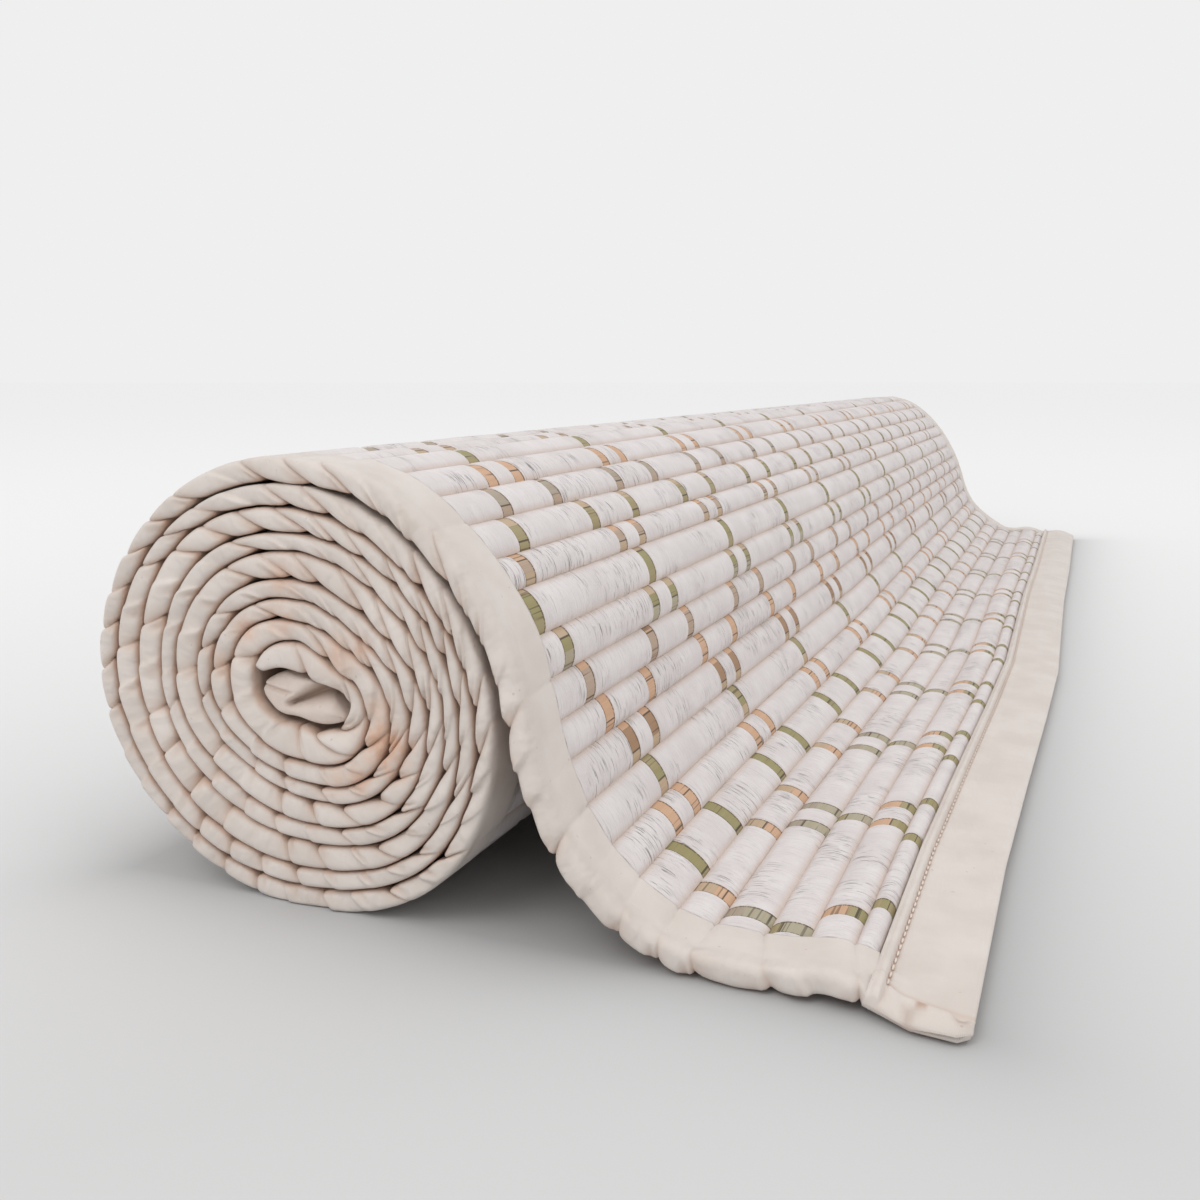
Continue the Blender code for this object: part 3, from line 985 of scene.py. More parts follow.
@dataclass
class WovenMat:
    """The mat between its bindings: ribs of reeds wrapped in cotton yarn, with bands where the reeds show."""

    course: Course
    drawing: Drawing
    ribs: Ribs = Ribs()
    name: str = "woven_mat_cloth"
    edge: float = 16.8
    shown_length: float = 575.0
    outer_shares: tuple[float, ...] = (0.0, 0.03, 0.1, 0.22, 0.36, 0.5, 0.64, 0.78, 0.9, 0.97, 1.0)
    hidden_shares: tuple[float, ...] = (0.0, 0.15, 0.5, 0.85, 1.0)
    inner_shares: tuple[float, ...] = (1.0, 0.85, 0.5, 0.15, 0.0)
    hidden_rings: int = 4
    thickest: float = 6.4
    groove_depth: float = 3.0
    arch: float = 2.0
    cut: float = 0.93
    crease_angle: float = 38.0
    pressed: float = 0.4
    reed_recess: float = 0.35
    swell: float = 0.5
    swell_scale: float = 45.0
    band: float = 6.5
    band_step: float = 0.3
    band_start: float = 20.0
    band_gap: float = 0.9
    band_from_edge: float = 0.35
    pattern: float = 72.0
    pattern_ribs: int = 10
    first_rib: int = -2
    longest_plain: float = 22.0
    shift_from: float = 60.0
    second_reed: tuple[float, float] = (0.15, 0.45)
    third_reed: tuple[float, float] = (0.55, 0.9)
    one_reed_below: float = 0.33
    drawn_stretch: float = 0.03
    seed: int = 7

    def bundle(self, number: int, draw: np.random.Generator) -> Bundle:
        """Return the reeds of a rib: the charted ones, and drawn ones further in.

        Args:
            number: the rib's number from the loose end.
            draw: the generator for ribs past the charted ones.
        Returns:
            The rib's bundle.
        """
        first, second, third = draw.choice(len(Reed), 3)
        splits = (float(draw.uniform(*self.second_reed)), float(draw.uniform(*self.third_reed)))
        if number < len(BUNDLES):
            return BUNDLES[number]
        reeds = list(Reed)
        middle = reeds[second] if splits[0] > self.one_reed_below else reeds[first]
        return Bundle((reeds[first], middle, reeds[third]), splits, 0.0, self.drawn_stretch)

    def bands(self, number: int, bundle: Bundle) -> list[float]:
        """Return where the middles of a rib's reed bands lie across the mat.

        Args:
            number: the rib's number from the loose end.
            bundle: its reeds.
        Returns:
            The bands' middles, from the near edge.
        """
        half = self.pattern_ribs / 2
        steps = half - abs((number + self.first_rib) % self.pattern_ribs - half)
        lean = self.pattern / self.pattern_ribs * steps
        spots: list[float] = []
        for turn in range(-1, int(self.course.width / self.pattern) + 2):
            start = self.band_start + turn * self.pattern + lean
            end = self.band_start + (turn + 1) * self.pattern - lean
            for y in (start, end):
                y += bundle.shift + bundle.stretch * max(y - self.shift_from, 0)
                if not spots or y - max(spots) >= self.band * self.band_gap:
                    spots.append(y)
        reach = self.edge + self.band * self.band_from_edge
        return [y for y in sorted(spots) if reach < y < self.course.width - reach]

    def plain(self, start: float, end: float) -> list[float]:
        """Return places from one to another, as many as a plain stretch needs, both ends included."""
        pieces = max(2, math.ceil((end - start) / self.longest_plain) + 1)
        return [float(spot) for spot in np.linspace(start, end, pieces)]

    def rings(self, bands: list[float]) -> tuple[Array, Array]:
        """Return where a rib is cut across the mat, and whether each place is on bare reed.

        Args:
            bands: the middles of its bands.
        Returns:
            Distances from the near edge, and 1 on reed or 0 on cotton for each.
        """
        low, high = self.edge, self.course.width - self.edge
        y, bare = [low], [0.0]
        for middle in bands:
            start, end = middle - self.band / 2, middle + self.band / 2
            between = self.plain(y[-1], start)[1:-1]
            y += between
            bare += [0.0] * len(between)
            cuts = ((start, 0.0), (start + self.band_step, 1.0), (end - self.band_step, 1.0), (end, 0.0))
            for spot, on in cuts:
                if y[-1] < spot < high:
                    y.append(spot)
                    bare.append(on)
        rest = self.plain(y[-1], high)[1:]
        return np.array(y + rest), np.array(bare + [0.0] * len(rest))

    @staticmethod
    def past_middle(spot: float, middles: list[float]) -> float:
        """Return how far a place is past the middle nearest to it, below zero before it."""
        return min((spot - middle for middle in middles), key=lambda gap: (abs(gap), gap))

    def rib(self, number: int, start: float, end: float, draw: np.random.Generator) -> RibCage:
        """Lay out one rib as a closed tube, with what the rib tree reads.

        Args:
            number: the rib's number from the loose end.
            start: where it begins along the mat.
            end: where it ends.
            draw: the generator for its reeds.
        Returns:
            The rib's rings, points and marks.
        """
        shown = start < self.shown_length
        bundle = self.bundle(number, draw)
        bands = self.bands(number, bundle) if shown else []
        y, bare = self.rings(bands)
        if not shown:
            y = np.linspace(self.edge, self.course.width - self.edge, self.hidden_rings)
            bare = np.zeros(self.hidden_rings)
        off = np.array([self.past_middle(spot, bands or [self.edge]) for spot in y])
        outer = np.array(self.outer_shares if shown else self.hidden_shares)
        share = np.concatenate([outer, self.inner_shares])
        side = np.concatenate([np.ones(len(outer)), -np.ones(len(self.inner_shares))])
        grid_s, grid_y = np.meshgrid(start + (end - start) * share, y)
        middle, facing, thickness = self.course.at(grid_s, grid_y)
        half = np.minimum(thickness, self.thickest) / 2
        size = grid_s.size
        marks = {
            "outward": np.insert(facing.reshape(-1, 2), 1, 0.0, axis=1),
            "reach": (half * side[None, :]).ravel() * MM,
            "share": np.tile(share, len(y)),
            "sink": np.repeat(bare, len(share)) * (np.tile(side, len(y)) > 0),
            "press": np.full(size, 1.0 if shown else self.pressed),
            "rib": np.full(size, float(number)),
            "along": grid_s.ravel() * MM,
            "across": grid_y.ravel() * MM,
            "split_a": np.full(size, bundle.splits[0]),
            "split_b": np.full(size, bundle.splits[1]),
            "off": np.repeat(off, len(share)) * MM,
        }
        for key, reed in zip(("reed_a", "reed_b", "reed_c"), bundle.reeds):
            marks[key] = np.tile(linear(reed.value), (size, 1))
        quads = np.minimum(bare[:-1], bare[1:]) > 0.5
        front = np.arange(len(share)) < len(outer) - 1
        marks["bare"] = np.append((quads[:, None] & front[None, :]).ravel(), [False, False])
        spots = np.stack([middle[..., 0], grid_y, middle[..., 1]], axis=-1).reshape(-1, 3)
        return RibCage(len(y), spots, marks)

    def cage(self) -> bpy.types.Object:
        """Lay out every rib on the mat's middle line.

        Returns:
            The ribs' tubes as one object, with their marks.
        """
        draw = np.random.default_rng(self.seed)
        edges = self.ribs.edges(self.course.length)
        cages = [self.rib(number, *ends, draw) for number, ends in enumerate(zip(edges, edges[1:]))]
        faces: list[tuple[int, ...]] = []
        count = 0
        for cage in cages:
            faces += Meshes.tube_faces(cage.rings, len(cage.spots) // cage.rings, count)
            count += len(cage.spots)
        spots = np.vstack([cage.spots for cage in cages])
        thing = Meshes.object_from(self.name, self.drawing.place(spots), faces)
        for key in cages[0].marks:
            values = np.concatenate([cage.marks[key] for cage in cages])
            domain = "FACE" if key == "bare" else "POINT"
            Meshes.mark(thing, key, values, MARK_KINDS.get(key, "FLOAT"), domain)
        return thing

    def tree(self, cotton: bpy.types.Material, reed: bpy.types.Material) -> Tree:
        """Build the tree that raises the ribs, sinks the reed bands and swells the cotton unevenly.

        Args:
            cotton: material of the yarn.
            reed: material of the bare bands.
        Returns:
            The tree.
        """
        t = Tree("ribs")
        depth, arch, recess = t.number("Groove depth"), t.number("Arch"), t.number("Reed recess")
        swell, scale = t.number("Swell"), t.number("Swell scale")
        seed, cut = t.number("Seed"), t.number("Cut")
        share, reach, sink = t.read("share"), t.read("reach"), t.read("sink")
        edge = t.math("ABSOLUTE", t.math("SUBTRACT", t.math("MULTIPLY", share, 2.0), 1.0))
        round_off = t.math("SUBTRACT", 1.0, t.math("POWER", t.math("MULTIPLY", edge, cut), arch))
        groove = t.math("SUBTRACT", 1.0, t.math("SQRT", t.math("MAXIMUM", round_off, 0.0)))
        place = t.node("GeometryNodeInputPosition").outputs[0]
        noise = t.node("ShaderNodeTexNoise", place, seed, scale, 2.0, noise_dimensions="4D").outputs[0]
        uneven = t.math("MULTIPLY", t.math("SUBTRACT", noise, 0.5), swell)
        lowered = t.math("MULTIPLY", groove, t.math("MULTIPLY", depth, t.read("press")))
        body = t.math("SUBTRACT", t.math("ABSOLUTE", reach), lowered)
        body = t.math("SUBTRACT", body, t.math("MULTIPLY", sink, recess))
        body = t.math("ADD", body, t.math("MULTIPLY", uneven, t.math("SUBTRACT", 1.0, sink)))
        rise = t.math("MULTIPLY", body, t.math("SIGN", reach))
        moved = t.vector("ADD", place, t.vector("SCALE", t.read("outward", "FLOAT_VECTOR"), rise))
        split = t.node("ShaderNodeSeparateXYZ", moved)
        floor = t.math("MAXIMUM", split.outputs[2], 0.0)
        target = t.node("ShaderNodeCombineXYZ", split.outputs[0], split.outputs[1], floor).outputs[0]
        raised = t.node("GeometryNodeSetPosition", t.start.outputs[0], True, target).outputs[0]
        solid = t.node("GeometryNodeRealizeInstances", raised).outputs[0]
        wrapped = t.node("GeometryNodeSetMaterial", solid, True, cotton).outputs[0]
        banded = t.node("GeometryNodeSetMaterial", wrapped, t.read("bare", "BOOLEAN"), reed).outputs[0]
        t.group.links.new(banded, t.end.inputs[0])
        return t

    def build(self) -> bpy.types.Object:
        """Build the woven mat.

        Returns:
            The finished piece, a plain mesh.
        """
        tree = self.tree(CottonYarn().material(), ReedSkin().material())
        values = {
            "Groove depth": self.groove_depth * MM,
            "Arch": self.arch,
            "Cut": self.cut,
            "Reed recess": self.reed_recess * MM,
            "Swell": self.swell * MM,
            "Swell scale": self.swell_scale,
            "Seed": float(self.seed),
        }
        thing = tree.bake(self.cage(), values)
        thing.data.set_sharp_from_angle(angle=math.radians(self.crease_angle))
        return thing


@dataclass(frozen=True)
class Puffs:
    """How a tape puffs up over the ribs' ends and how its creases lie between them.

    Lengths are millimetres. The first rows cut each rib and the tape's faces and round edge into steps. A
    pair of numbers is the range of a draw, or a value on the outer face and what the inner face adds to it.
    """

    shares: tuple[float, ...]
    face_rows: tuple[float, ...]
    round_rows: tuple[float, ...]
    bulge: float = 0.3
    puff_range: tuple[float, float] = (0.65, 1.25)
    crease: float = 1.7
    crease_range: tuple[float, float] = (0.7, 1.4)
    crease_width: float = 0.5
    crease_spread: tuple[float, float] = (0.6, 1.1)
    crease_share: tuple[float, float] = (0.3, 0.7)
    plain_share: float = 0.36
    plain_range: tuple[float, float] = (0.02, 0.2)
    hollow_power: float = 3.0
    hollow_limits: tuple[float, float] = (0.05, 1.1)
    strip_crease: float = 1.0
    strip_crease_share: tuple[float, float] = (0.5, 2.0)
    strip_groove: float = 0.45
    strip_groove_share: tuple[float, float] = (0.35, 0.65)
    loose_share: float = 0.6
    gap_crease: float = 1.1
    gap_groove: float = 0.35
    gap_share: tuple[float, float] = (0.6, -0.4)
    step: float = 2.4
    step_fade: float = 0.5
    step_share: tuple[float, float] = (0.35, 0.65)
    step_range: tuple[float, float] = (0.1, 1.3)
    dent: float = 1.2
    dent_range: tuple[float, float] = (0.2, 1.2)
    dent_spot: tuple[float, float] = (0.1, 0.3)
    dent_width: float = 0.1
    dent_heights: tuple[float, float] = (-0.5, 0.7)
    lean: float = 1.6
    steep_lean: float = 7.5
    lean_range: tuple[float, float] = (0.7, 1.3)
    lean_angle: float = 50.0
    slant: float = 4.0
    slant_range: tuple[float, float] = (-0.2, 1.0)
    calm_ends: float = 25.0
    fan: float = 2.2
    fan_rows: tuple[float, float] = (2.0, 6.0)


FINE_PUFFS = Puffs(
    shares=(0.0, 0.05, 0.11, 0.19, 0.3, 0.42, 0.55, 0.68, 0.79, 0.88, 0.95),
    face_rows=(16.5, 16.0, 14.5, 12.0, 9.5, 7.5, 6.0, 4.8, 3.8, 3.0),
    round_rows=(78.0, 62.0, 47.0, 33.0, 20.0, 7.0, -7.0, -20.0, -33.0, -47.0, -62.0, -78.0),
)
PLAIN_PUFFS = Puffs(
    shares=(0.0, 0.1, 0.3, 0.55, 0.8, 0.92),
    face_rows=(16.5, 15.5, 10.0, 6.0, 3.4),
    round_rows=(70.0, 42.0, 14.0, -14.0, -42.0, -70.0),
    strip_groove=1.7,
    strip_crease=1.3,
)


@dataclass(frozen=True)
class Folds:
    """One draw for each groove between ribs: how the tape is creased there and puffed beside it."""

    lean: Array
    slant: Array
    deep: Array
    high: Array
    tilt: Array
    spot: Array
    dent: Array

    @classmethod
    def drawn(cls, puffs: Puffs, edges: Array, steep: Array, seed: int) -> "Folds":
        """Draw the folds of one tape.

        Args:
            puffs: the ranges of the draws.
            edges: the grooves' distances along the mat.
            steep: how steeply creases slant there, from 0 to 1.
            seed: the tape's seed.
        Returns:
            The folds.
        """
        draw = np.random.default_rng(seed)
        count = len(edges)
        calm = np.clip(np.minimum(edges, edges[-1] - edges) / puffs.calm_ends, 0, 1)
        lean = (puffs.lean + puffs.steep_lean * steep) * draw.uniform(*puffs.lean_range, count) * calm
        slant = draw.uniform(*puffs.slant_range, count) * puffs.slant * calm
        plain = draw.random(count) < puffs.plain_share
        flat, creased = draw.uniform(*puffs.plain_range, count), draw.uniform(*puffs.crease_range, count)
        high, tilt = draw.uniform(*puffs.puff_range, count), draw.uniform(*puffs.step_range, count)
        spot, dent = draw.uniform(*puffs.dent_spot, count), draw.uniform(*puffs.dent_range, count)
        return cls(lean, slant, np.where(plain, flat, creased), high, tilt, spot, dent)


class Stations(NamedTuple):
    """Where a tape is cut along the mat, with the share across each cut's rib and the rib's number."""

    along: Array
    share: Array
    rib: Array


class Relief(NamedTuple):
    """What shapes a tape, and the painted shade on each puff's trailing side, a row for each station and a
    column for each place of its cross-section.
    """

    crease: Array
    hollow: Array
    tilted: Array
    pocket: Array
    trailing_shade: Array


@dataclass
class SideBinding:
    """The tape folded over one long side, puffed over each rib's end and pinched between ribs."""

    course: Course
    drawing: Drawing
    edge: float
    inward: int
    name: str
    seed: int
    puffs: Puffs
    ribs: Ribs = Ribs()
    width: float = 16.5
    thickest: float = 8.4
    thinnest: float = 0.8
    rounding: float = 2.5
    square: float = 0.66
    plump: float = 0.1
    plump_over: float = 40.0
    reach: float = 6.5
    face_share: float = 0.5
    one_turn: float = 560.0
    floor_gap: float = 0.02
    section_stretch: float = 3.0
    # Painted shade on covered places, and in creases, pockets, on trailing sides and beside the gaps between
    # turns
    covered_rows: tuple[float, float] = (3.0, 5.0)
    painted_fold_shade_rows: tuple[float, float] = (3.0, 6.0)
    painted_fold_shade_heights: tuple[float, float] = (0.7, 1.0)
    painted_fold_shade_beside: float = 0.8
    painted_fold_shade_pocket: float = 0.5
    trailing_shade_weight: float = 0.3
    crumple_share: tuple[float, float] = (0.25, 0.75)

    def section(self) -> tuple[Array, Array]:
        """Return the cross-section from the outer seam over the edge to the inner seam.

        Returns:
            Distances from the edge, and heights from -1 on the inner face to 1 on the outer face.
        """
        angle = np.radians(self.puffs.round_rows)
        rows = np.array(self.puffs.face_rows)
        edge = self.rounding * (1 - np.cos(angle) ** self.square)
        inset = np.concatenate([rows, edge, rows[::-1]])
        rise = np.sign(angle) * np.abs(np.sin(angle)) ** self.square
        height = np.concatenate([np.ones(len(rows)), rise, -np.ones(len(rows))])
        return inset, height

    def stations(self, edges: Array) -> Stations:
        """Return where the tape is cut along the mat.

        Args:
            edges: the grooves' distances along the mat.
        Returns:
            The stations, the mat's inner end included.
        """
        parts = np.array(self.puffs.shares)
        along = (edges[:-1, None] + np.diff(edges)[:, None] * parts).ravel()
        rib = np.repeat(np.arange(len(edges) - 1), len(parts))
        share = np.tile(parts, len(edges) - 1)
        return Stations(np.append(along, edges[-1]), np.append(share, 1.0), np.append(rib, len(edges) - 2))

    def looseness(self, along: Array) -> Array:
        """Return 1 on the loose end, 0 on the turns and a rise between them."""
        return 1 - soft_step(along, self.course.all_drift, self.course.no_drift)

    def steepness(self, edges: Array) -> Array:
        """Return how steeply creases slant across the tape's thickness, from 0 to 1.

        Args:
            edges: the grooves' distances along the mat.
        Returns:
            The most on one side of the roll, and none on the loose end.
        """
        middle, _, _ = self.course.at(edges, np.full(len(edges), self.edge))
        spoke = middle - np.array(self.course.centre)
        angle = np.arctan2(spoke[:, 1], spoke[:, 0]) - math.radians(self.puffs.lean_angle)
        wound = soft_step(edges, self.course.all_drift, self.course.no_drift)
        return (0.5 + 0.5 * np.cos(angle)) * wound

    def relief(self, at: Stations, edges: Array, folds: Folds, inset: Array, height: Array) -> Relief:
        """Return how the creases, hollows, steps and pockets lie on the tape, and where painted shade falls
        on each puff's trailing side.

        Args:
            at: the stations along the mat.
            edges: the grooves' distances along the mat.
            folds: what was drawn for each groove.
            inset: the cross-section's distances from the edge.
            height: its heights.
        Returns:
            The relief, each kind of it from about 0 to 1.
        """
        puffs = self.puffs
        low = (1 - height[None, :]) / 2
        deep = folds.deep[np.where(at.share < 0.5, at.rib, at.rib + 1)]
        deep = deep * (1 - (1 - puffs.loose_share) * self.looseness(at.along))
        away = np.minimum(at.share, 1 - at.share) * np.diff(edges)[at.rib]
        fan = soft_step(inset, *puffs.fan_rows)[None, :] * np.clip(1 - inset / self.width, 0, 1)[None, :]
        width = puffs.crease_width * blend(puffs.crease_spread, low) + puffs.fan * fan
        crease = np.exp(-away[:, None] / width) * deep[:, None] * blend(puffs.crease_share, low)
        hollow = np.abs(2 * at.share - 1) ** puffs.hollow_power * np.clip(deep, *puffs.hollow_limits)
        tilted = (at.share - 0.5) * folds.tilt[at.rib] * (1 - np.exp(-away / puffs.step_fade))
        pocket = bell(at.share - folds.spot[at.rib], puffs.dent_width) * folds.dent[at.rib]
        tilted = tilted[:, None] * blend(puffs.step_share, low)
        pocket = pocket[:, None] * soft_step(-height, *puffs.dent_heights)[None, :]
        # Painted shade on each puff's trailing side; it shapes nothing
        trailing_shade = soft_step(at.share, 0.5, 1.0) * np.clip(deep, 0, 1)
        return Relief(crease, hollow[:, None], tilted, pocket, trailing_shade[:, None] * (0.5 + 0.5 * low))

    def build(self, material: bpy.types.Material) -> bpy.types.Object:
        """Build the tape.

        Args:
            material: the tape's finish.
        Returns:
            The finished piece.
        """
        puffs = self.puffs
        edges = self.ribs.edges(self.course.length)
        folds = Folds.drawn(puffs, edges, self.steepness(edges), self.seed)
        at = self.stations(edges)
        inset, height = self.section()
        relief = self.relief(at, edges, folds, inset, height)
        loose = self.looseness(at.along)
        face = (1 - soft_step(inset, self.rounding * self.face_share, self.reach))[None, :]
        s = at.along[:, None] - np.interp(at.along, edges, folds.lean)[:, None] * (1 - height[None, :]) / 2
        slant = (np.interp(at.along, edges, folds.slant) * loose)[:, None]
        s = s - slant * np.clip(1 - inset / self.width, 0, 1)[None, :]
        puffed = (folds.high[at.rib] - 1)[:, None] * (1 - relief.hollow)
        sunk = puffs.bulge * (relief.hollow - puffed) + puffs.crease * relief.crease
        sunk = sunk + puffs.step * relief.tilted + puffs.dent * relief.pocket
        y = self.edge + self.inward * (inset + face * sunk * np.clip(1 - inset / self.reach, 0, 1))
        gap = puffs.gap_groove * relief.hollow + puffs.gap_crease * relief.crease
        gap = gap * blend(puffs.gap_share, height)
        strip = blend(puffs.strip_groove_share, soft_step(inset, self.reach, self.width)) * puffs.strip_groove
        creased = puffs.strip_crease * blend(puffs.strip_crease_share, loose)[:, None] * relief.crease
        depth = face * gap + (1 - face) * (creased + strip * relief.hollow)
        middle, facing, thickness = self.course.at(s, y)
        plump = self.plump * soft_step(at.along, self.one_turn, self.one_turn + self.plump_over)[:, None]
        half = np.maximum(np.minimum(thickness, self.thickest) / 2 + plump - depth, self.thinnest)
        spots = middle + facing * (height[None, :] * half)[..., None]
        spots = np.stack([spots[..., 0], y, np.maximum(spots[..., 1], self.floor_gap)], axis=-1)
        spots = spots.reshape(-1, 3)
        faces = Meshes.tube_faces(len(at.along), len(inset))
        thing = Meshes.object_from(self.name, self.drawing.place(spots), faces)
        Finish.outward(thing)
        steps = np.abs(np.diff(inset, prepend=inset[0]))
        steps = steps + np.abs(np.diff(height, prepend=height[0])) * self.section_stretch
        looks = self.looks(at, relief, face, inset, height)
        looks |= {"along": s * MM, "across": np.cumsum(steps) * MM}
        looks["stain"] = Finish.stain(spots, self.inward > 0).reshape(s.shape)
        Finish.dress(thing, looks, s.shape, material)
        return thing

    def looks(
        self, at: Stations, relief: Relief, face: Array, inset: Array, height: Array
    ) -> dict[str, Array]:
        """Return what the tape's finish reads: painted shade on its covered places, painted shade in its
        creases, pockets, gaps and trailing sides, and its crumpled places.

        Args:
            at: the stations along the mat.
            relief: the tape's relief.
            face: 1 on the edge's face, and 0 on the strip that lies on the mat.
            inset: the cross-section's distances from the edge.
            height: its heights.
        Returns:
            Values from 0 to 1 by name.
        """
        # Painted shade on the inner face and the wound turns, away from the rounded edge
        turned_in = (height[None, :] < 0) | (at.along[:, None] > self.course.no_drift)
        covered = soft_step(inset, *self.covered_rows)[None, :] * turned_in
        outermost = (height[None, :] > 0) & (at.along[:, None] < self.one_turn)
        # Painted shade beside the gaps between turns, in creases and pockets and on trailing sides
        beside = soft_step(np.abs(height), *self.painted_fold_shade_heights) * (1 - soft_step(inset, *self.painted_fold_shade_rows))
        painted_fold_shade = relief.crease + self.painted_fold_shade_pocket * relief.pocket + self.trailing_shade_weight * relief.trailing_shade
        painted_fold_shade = face * painted_fold_shade + self.painted_fold_shade_beside * beside[None, :] * ~outermost
        return {
            "painted_shade": np.where(outermost, 0.0, covered),
            "fold": np.clip(painted_fold_shade, 0, 1),
            "crumple": blend(self.crumple_share, face),
        }


class Finish:
    """Last touches that several pieces share."""

    @staticmethod
    def outward(thing: bpy.types.Object) -> None:
        """Turn a closed mesh's faces outwards.

        Args:
            thing: the object whose mesh it is.
        """
        mesh = bmesh.new()
        mesh.from_mesh(thing.data)
        bmesh.ops.recalc_face_normals(mesh, faces=mesh.faces)
        mesh.to_mesh(thing.data)
        mesh.free()

    @staticmethod
    def stain(spots: Array, stained: bool) -> Array:
        """Return how strongly each drawing point near the roll's end face is stained.

        Args:
            spots: drawing points.
            stained: whether this piece has the stains at all.
        Returns:
            A strength from 0 to 1 for each point.
        """
        total = np.zeros(len(spots))
        if stained:
            for mark in STAINS:
                away = np.hypot(spots[:, 0] - mark.x, spots[:, 2] - mark.z)
                total = np.maximum(total, mark.strength * bell(away, mark.radius))
        return total * np.clip(1 - spots[:, 1] / STAIN_REACH, 0, 1)

    @staticmethod
    def dress(
        thing: bpy.types.Object, looks: dict[str, Array], shape: tuple[int, ...], material: bpy.types.Material
    ) -> None:
        """Store what a finish reads on a piece, and give it the finish.

        Args:
            thing: the piece.
            looks: values by name, each for every point, or for a row or column of them.
            shape: the rows and columns of the piece's points.
            material: the finish.
        """
        for name, values in looks.items():
            Meshes.mark(thing, name, np.broadcast_to(values, shape).ravel())
        thing.data.materials.append(material)


@dataclass(frozen=True)
class Hem:
    """The folded cloth at the near corner of the outer end's tape, in millimetres.

    Along is measured from the tape's loose tip, and below from the hem's line towards the near edge. Each
    dint has its place along, its width along, its place below and its height below.
    """

    tape_width: float = 21.5
    at_seam: float = 4.4
    slope: float = 0.2
    tip_drop: float = 1.6
    tip_over: float = 1.8
    lip: float = 1.5
    lip_rise: tuple[float, float] = (-0.2, 0.9)
    lip_fall: tuple[float, float] = (2.0, 6.0)
    lip_lowered: float = 0.5
    crease_depth: float = 0.5
    crease_spread: float = 0.8
    opening_depth: float = 1.1
    opening: tuple[float, float, float, float] = (2.6, 1.5, 0.9, 1.3)
    # Painted shade in the opening near the tip
    opening_mark: tuple[float, float, float, float] = (2.6, 1.3, 1.6, 0.9)
    opening_painted_shade: float = 0.8
    dip_depth: float = 1.5
    dip: tuple[float, float] = (12.6, 1.5)
    dip_rise: tuple[float, float] = (1.2, 3.2)
    # Painted shade in the dip
    dip_mark: tuple[float, float] = (12.4, 1.2)
    dip_mark_rise: tuple[float, float] = (1.6, 3.6)
    dip_painted_shade: float = 0.5
    spot: tuple[float, float, float, float] = (10.3, 0.75, 1.5, 1.3)
    # Painted shadow line just above the hem
    line_above: float = 1.9
    line_spread: float = 0.7
    line_painted_shade: float = 0.4
    seam_hidden: float = 0.8

    def below(self, s: Array, y: Array) -> Array:
        """Return how far places lie below the hem's line.

        Args:
            s: distances from the loose tip.
            y: distances from the mat's near edge.
        Returns:
            Distances in millimetres, below zero past the line.
        """
        line = self.at_seam - self.slope * (self.tape_width - s) - self.tip_drop * np.exp(-s / self.tip_over)
        return line - y

    @staticmethod
    def dint(s: Array, below: Array, spot: tuple[float, float, float, float]) -> Array:
        """Return an oval dint's strength, 1 in its middle."""
        return bell(s - spot[0], spot[1]) * bell(below - spot[2], spot[3])

    def relief(self, s: Array, y: Array) -> Array:
        """Return how far the hem stands up from the tape.

        Args:
            s: distances from the loose tip.
            y: distances from the mat's near edge.
        Returns:
            Heights in millimetres.
        """
        below = self.below(s, y)
        lip = self.lip * soft_step(below, *self.lip_rise)
        lip = lip * (1 - self.lip_lowered * soft_step(below, *self.lip_fall))
        crease = self.crease_depth * bell(below + self.crease_spread, self.crease_spread)
        opening = self.opening_depth * self.dint(s, below, self.opening)
        dip = self.dip_depth * bell(s - self.dip[0], self.dip[1]) * soft_step(below, *self.dip_rise)
        return lip - crease - opening - dip

    def looks(self, s: Array, y: Array) -> tuple[Array, Array, Array]:
        """Return the painted shadow line above the hem, its brown spot, and the painted shade of its opening
        and dip, which also darkens the brown spot.

        Args:
            s: distances from the loose tip.
            y: distances from the mat's near edge.
        Returns:
            The strengths of the three, from 0 to 1.
        """
        below = self.below(s, y)
        # Painted shadow line above the hem
        painted_fold_shade = self.line_painted_shade * bell(below + self.line_above, self.line_spread)
        spot = self.dint(s, below, self.spot)
        # Painted shade in the opening and the dip; the brown spot is darkened with them
        opening = self.opening_painted_shade * self.dint(s, below, self.opening_mark)
        dip = bell(s - self.dip_mark[0], self.dip_mark[1]) * soft_step(below, *self.dip_mark_rise)
        dip = self.dip_painted_shade * dip
        return painted_fold_shade, spot, np.clip(spot + opening + dip, 0, 1)

    def over_seam(self, s: Array, y: Array) -> Array:
        """Return how much of the painted shade line along the seam the hem hides."""
        return self.seam_hidden * soft_step(self.below(s, y), 0.0, 1.0)


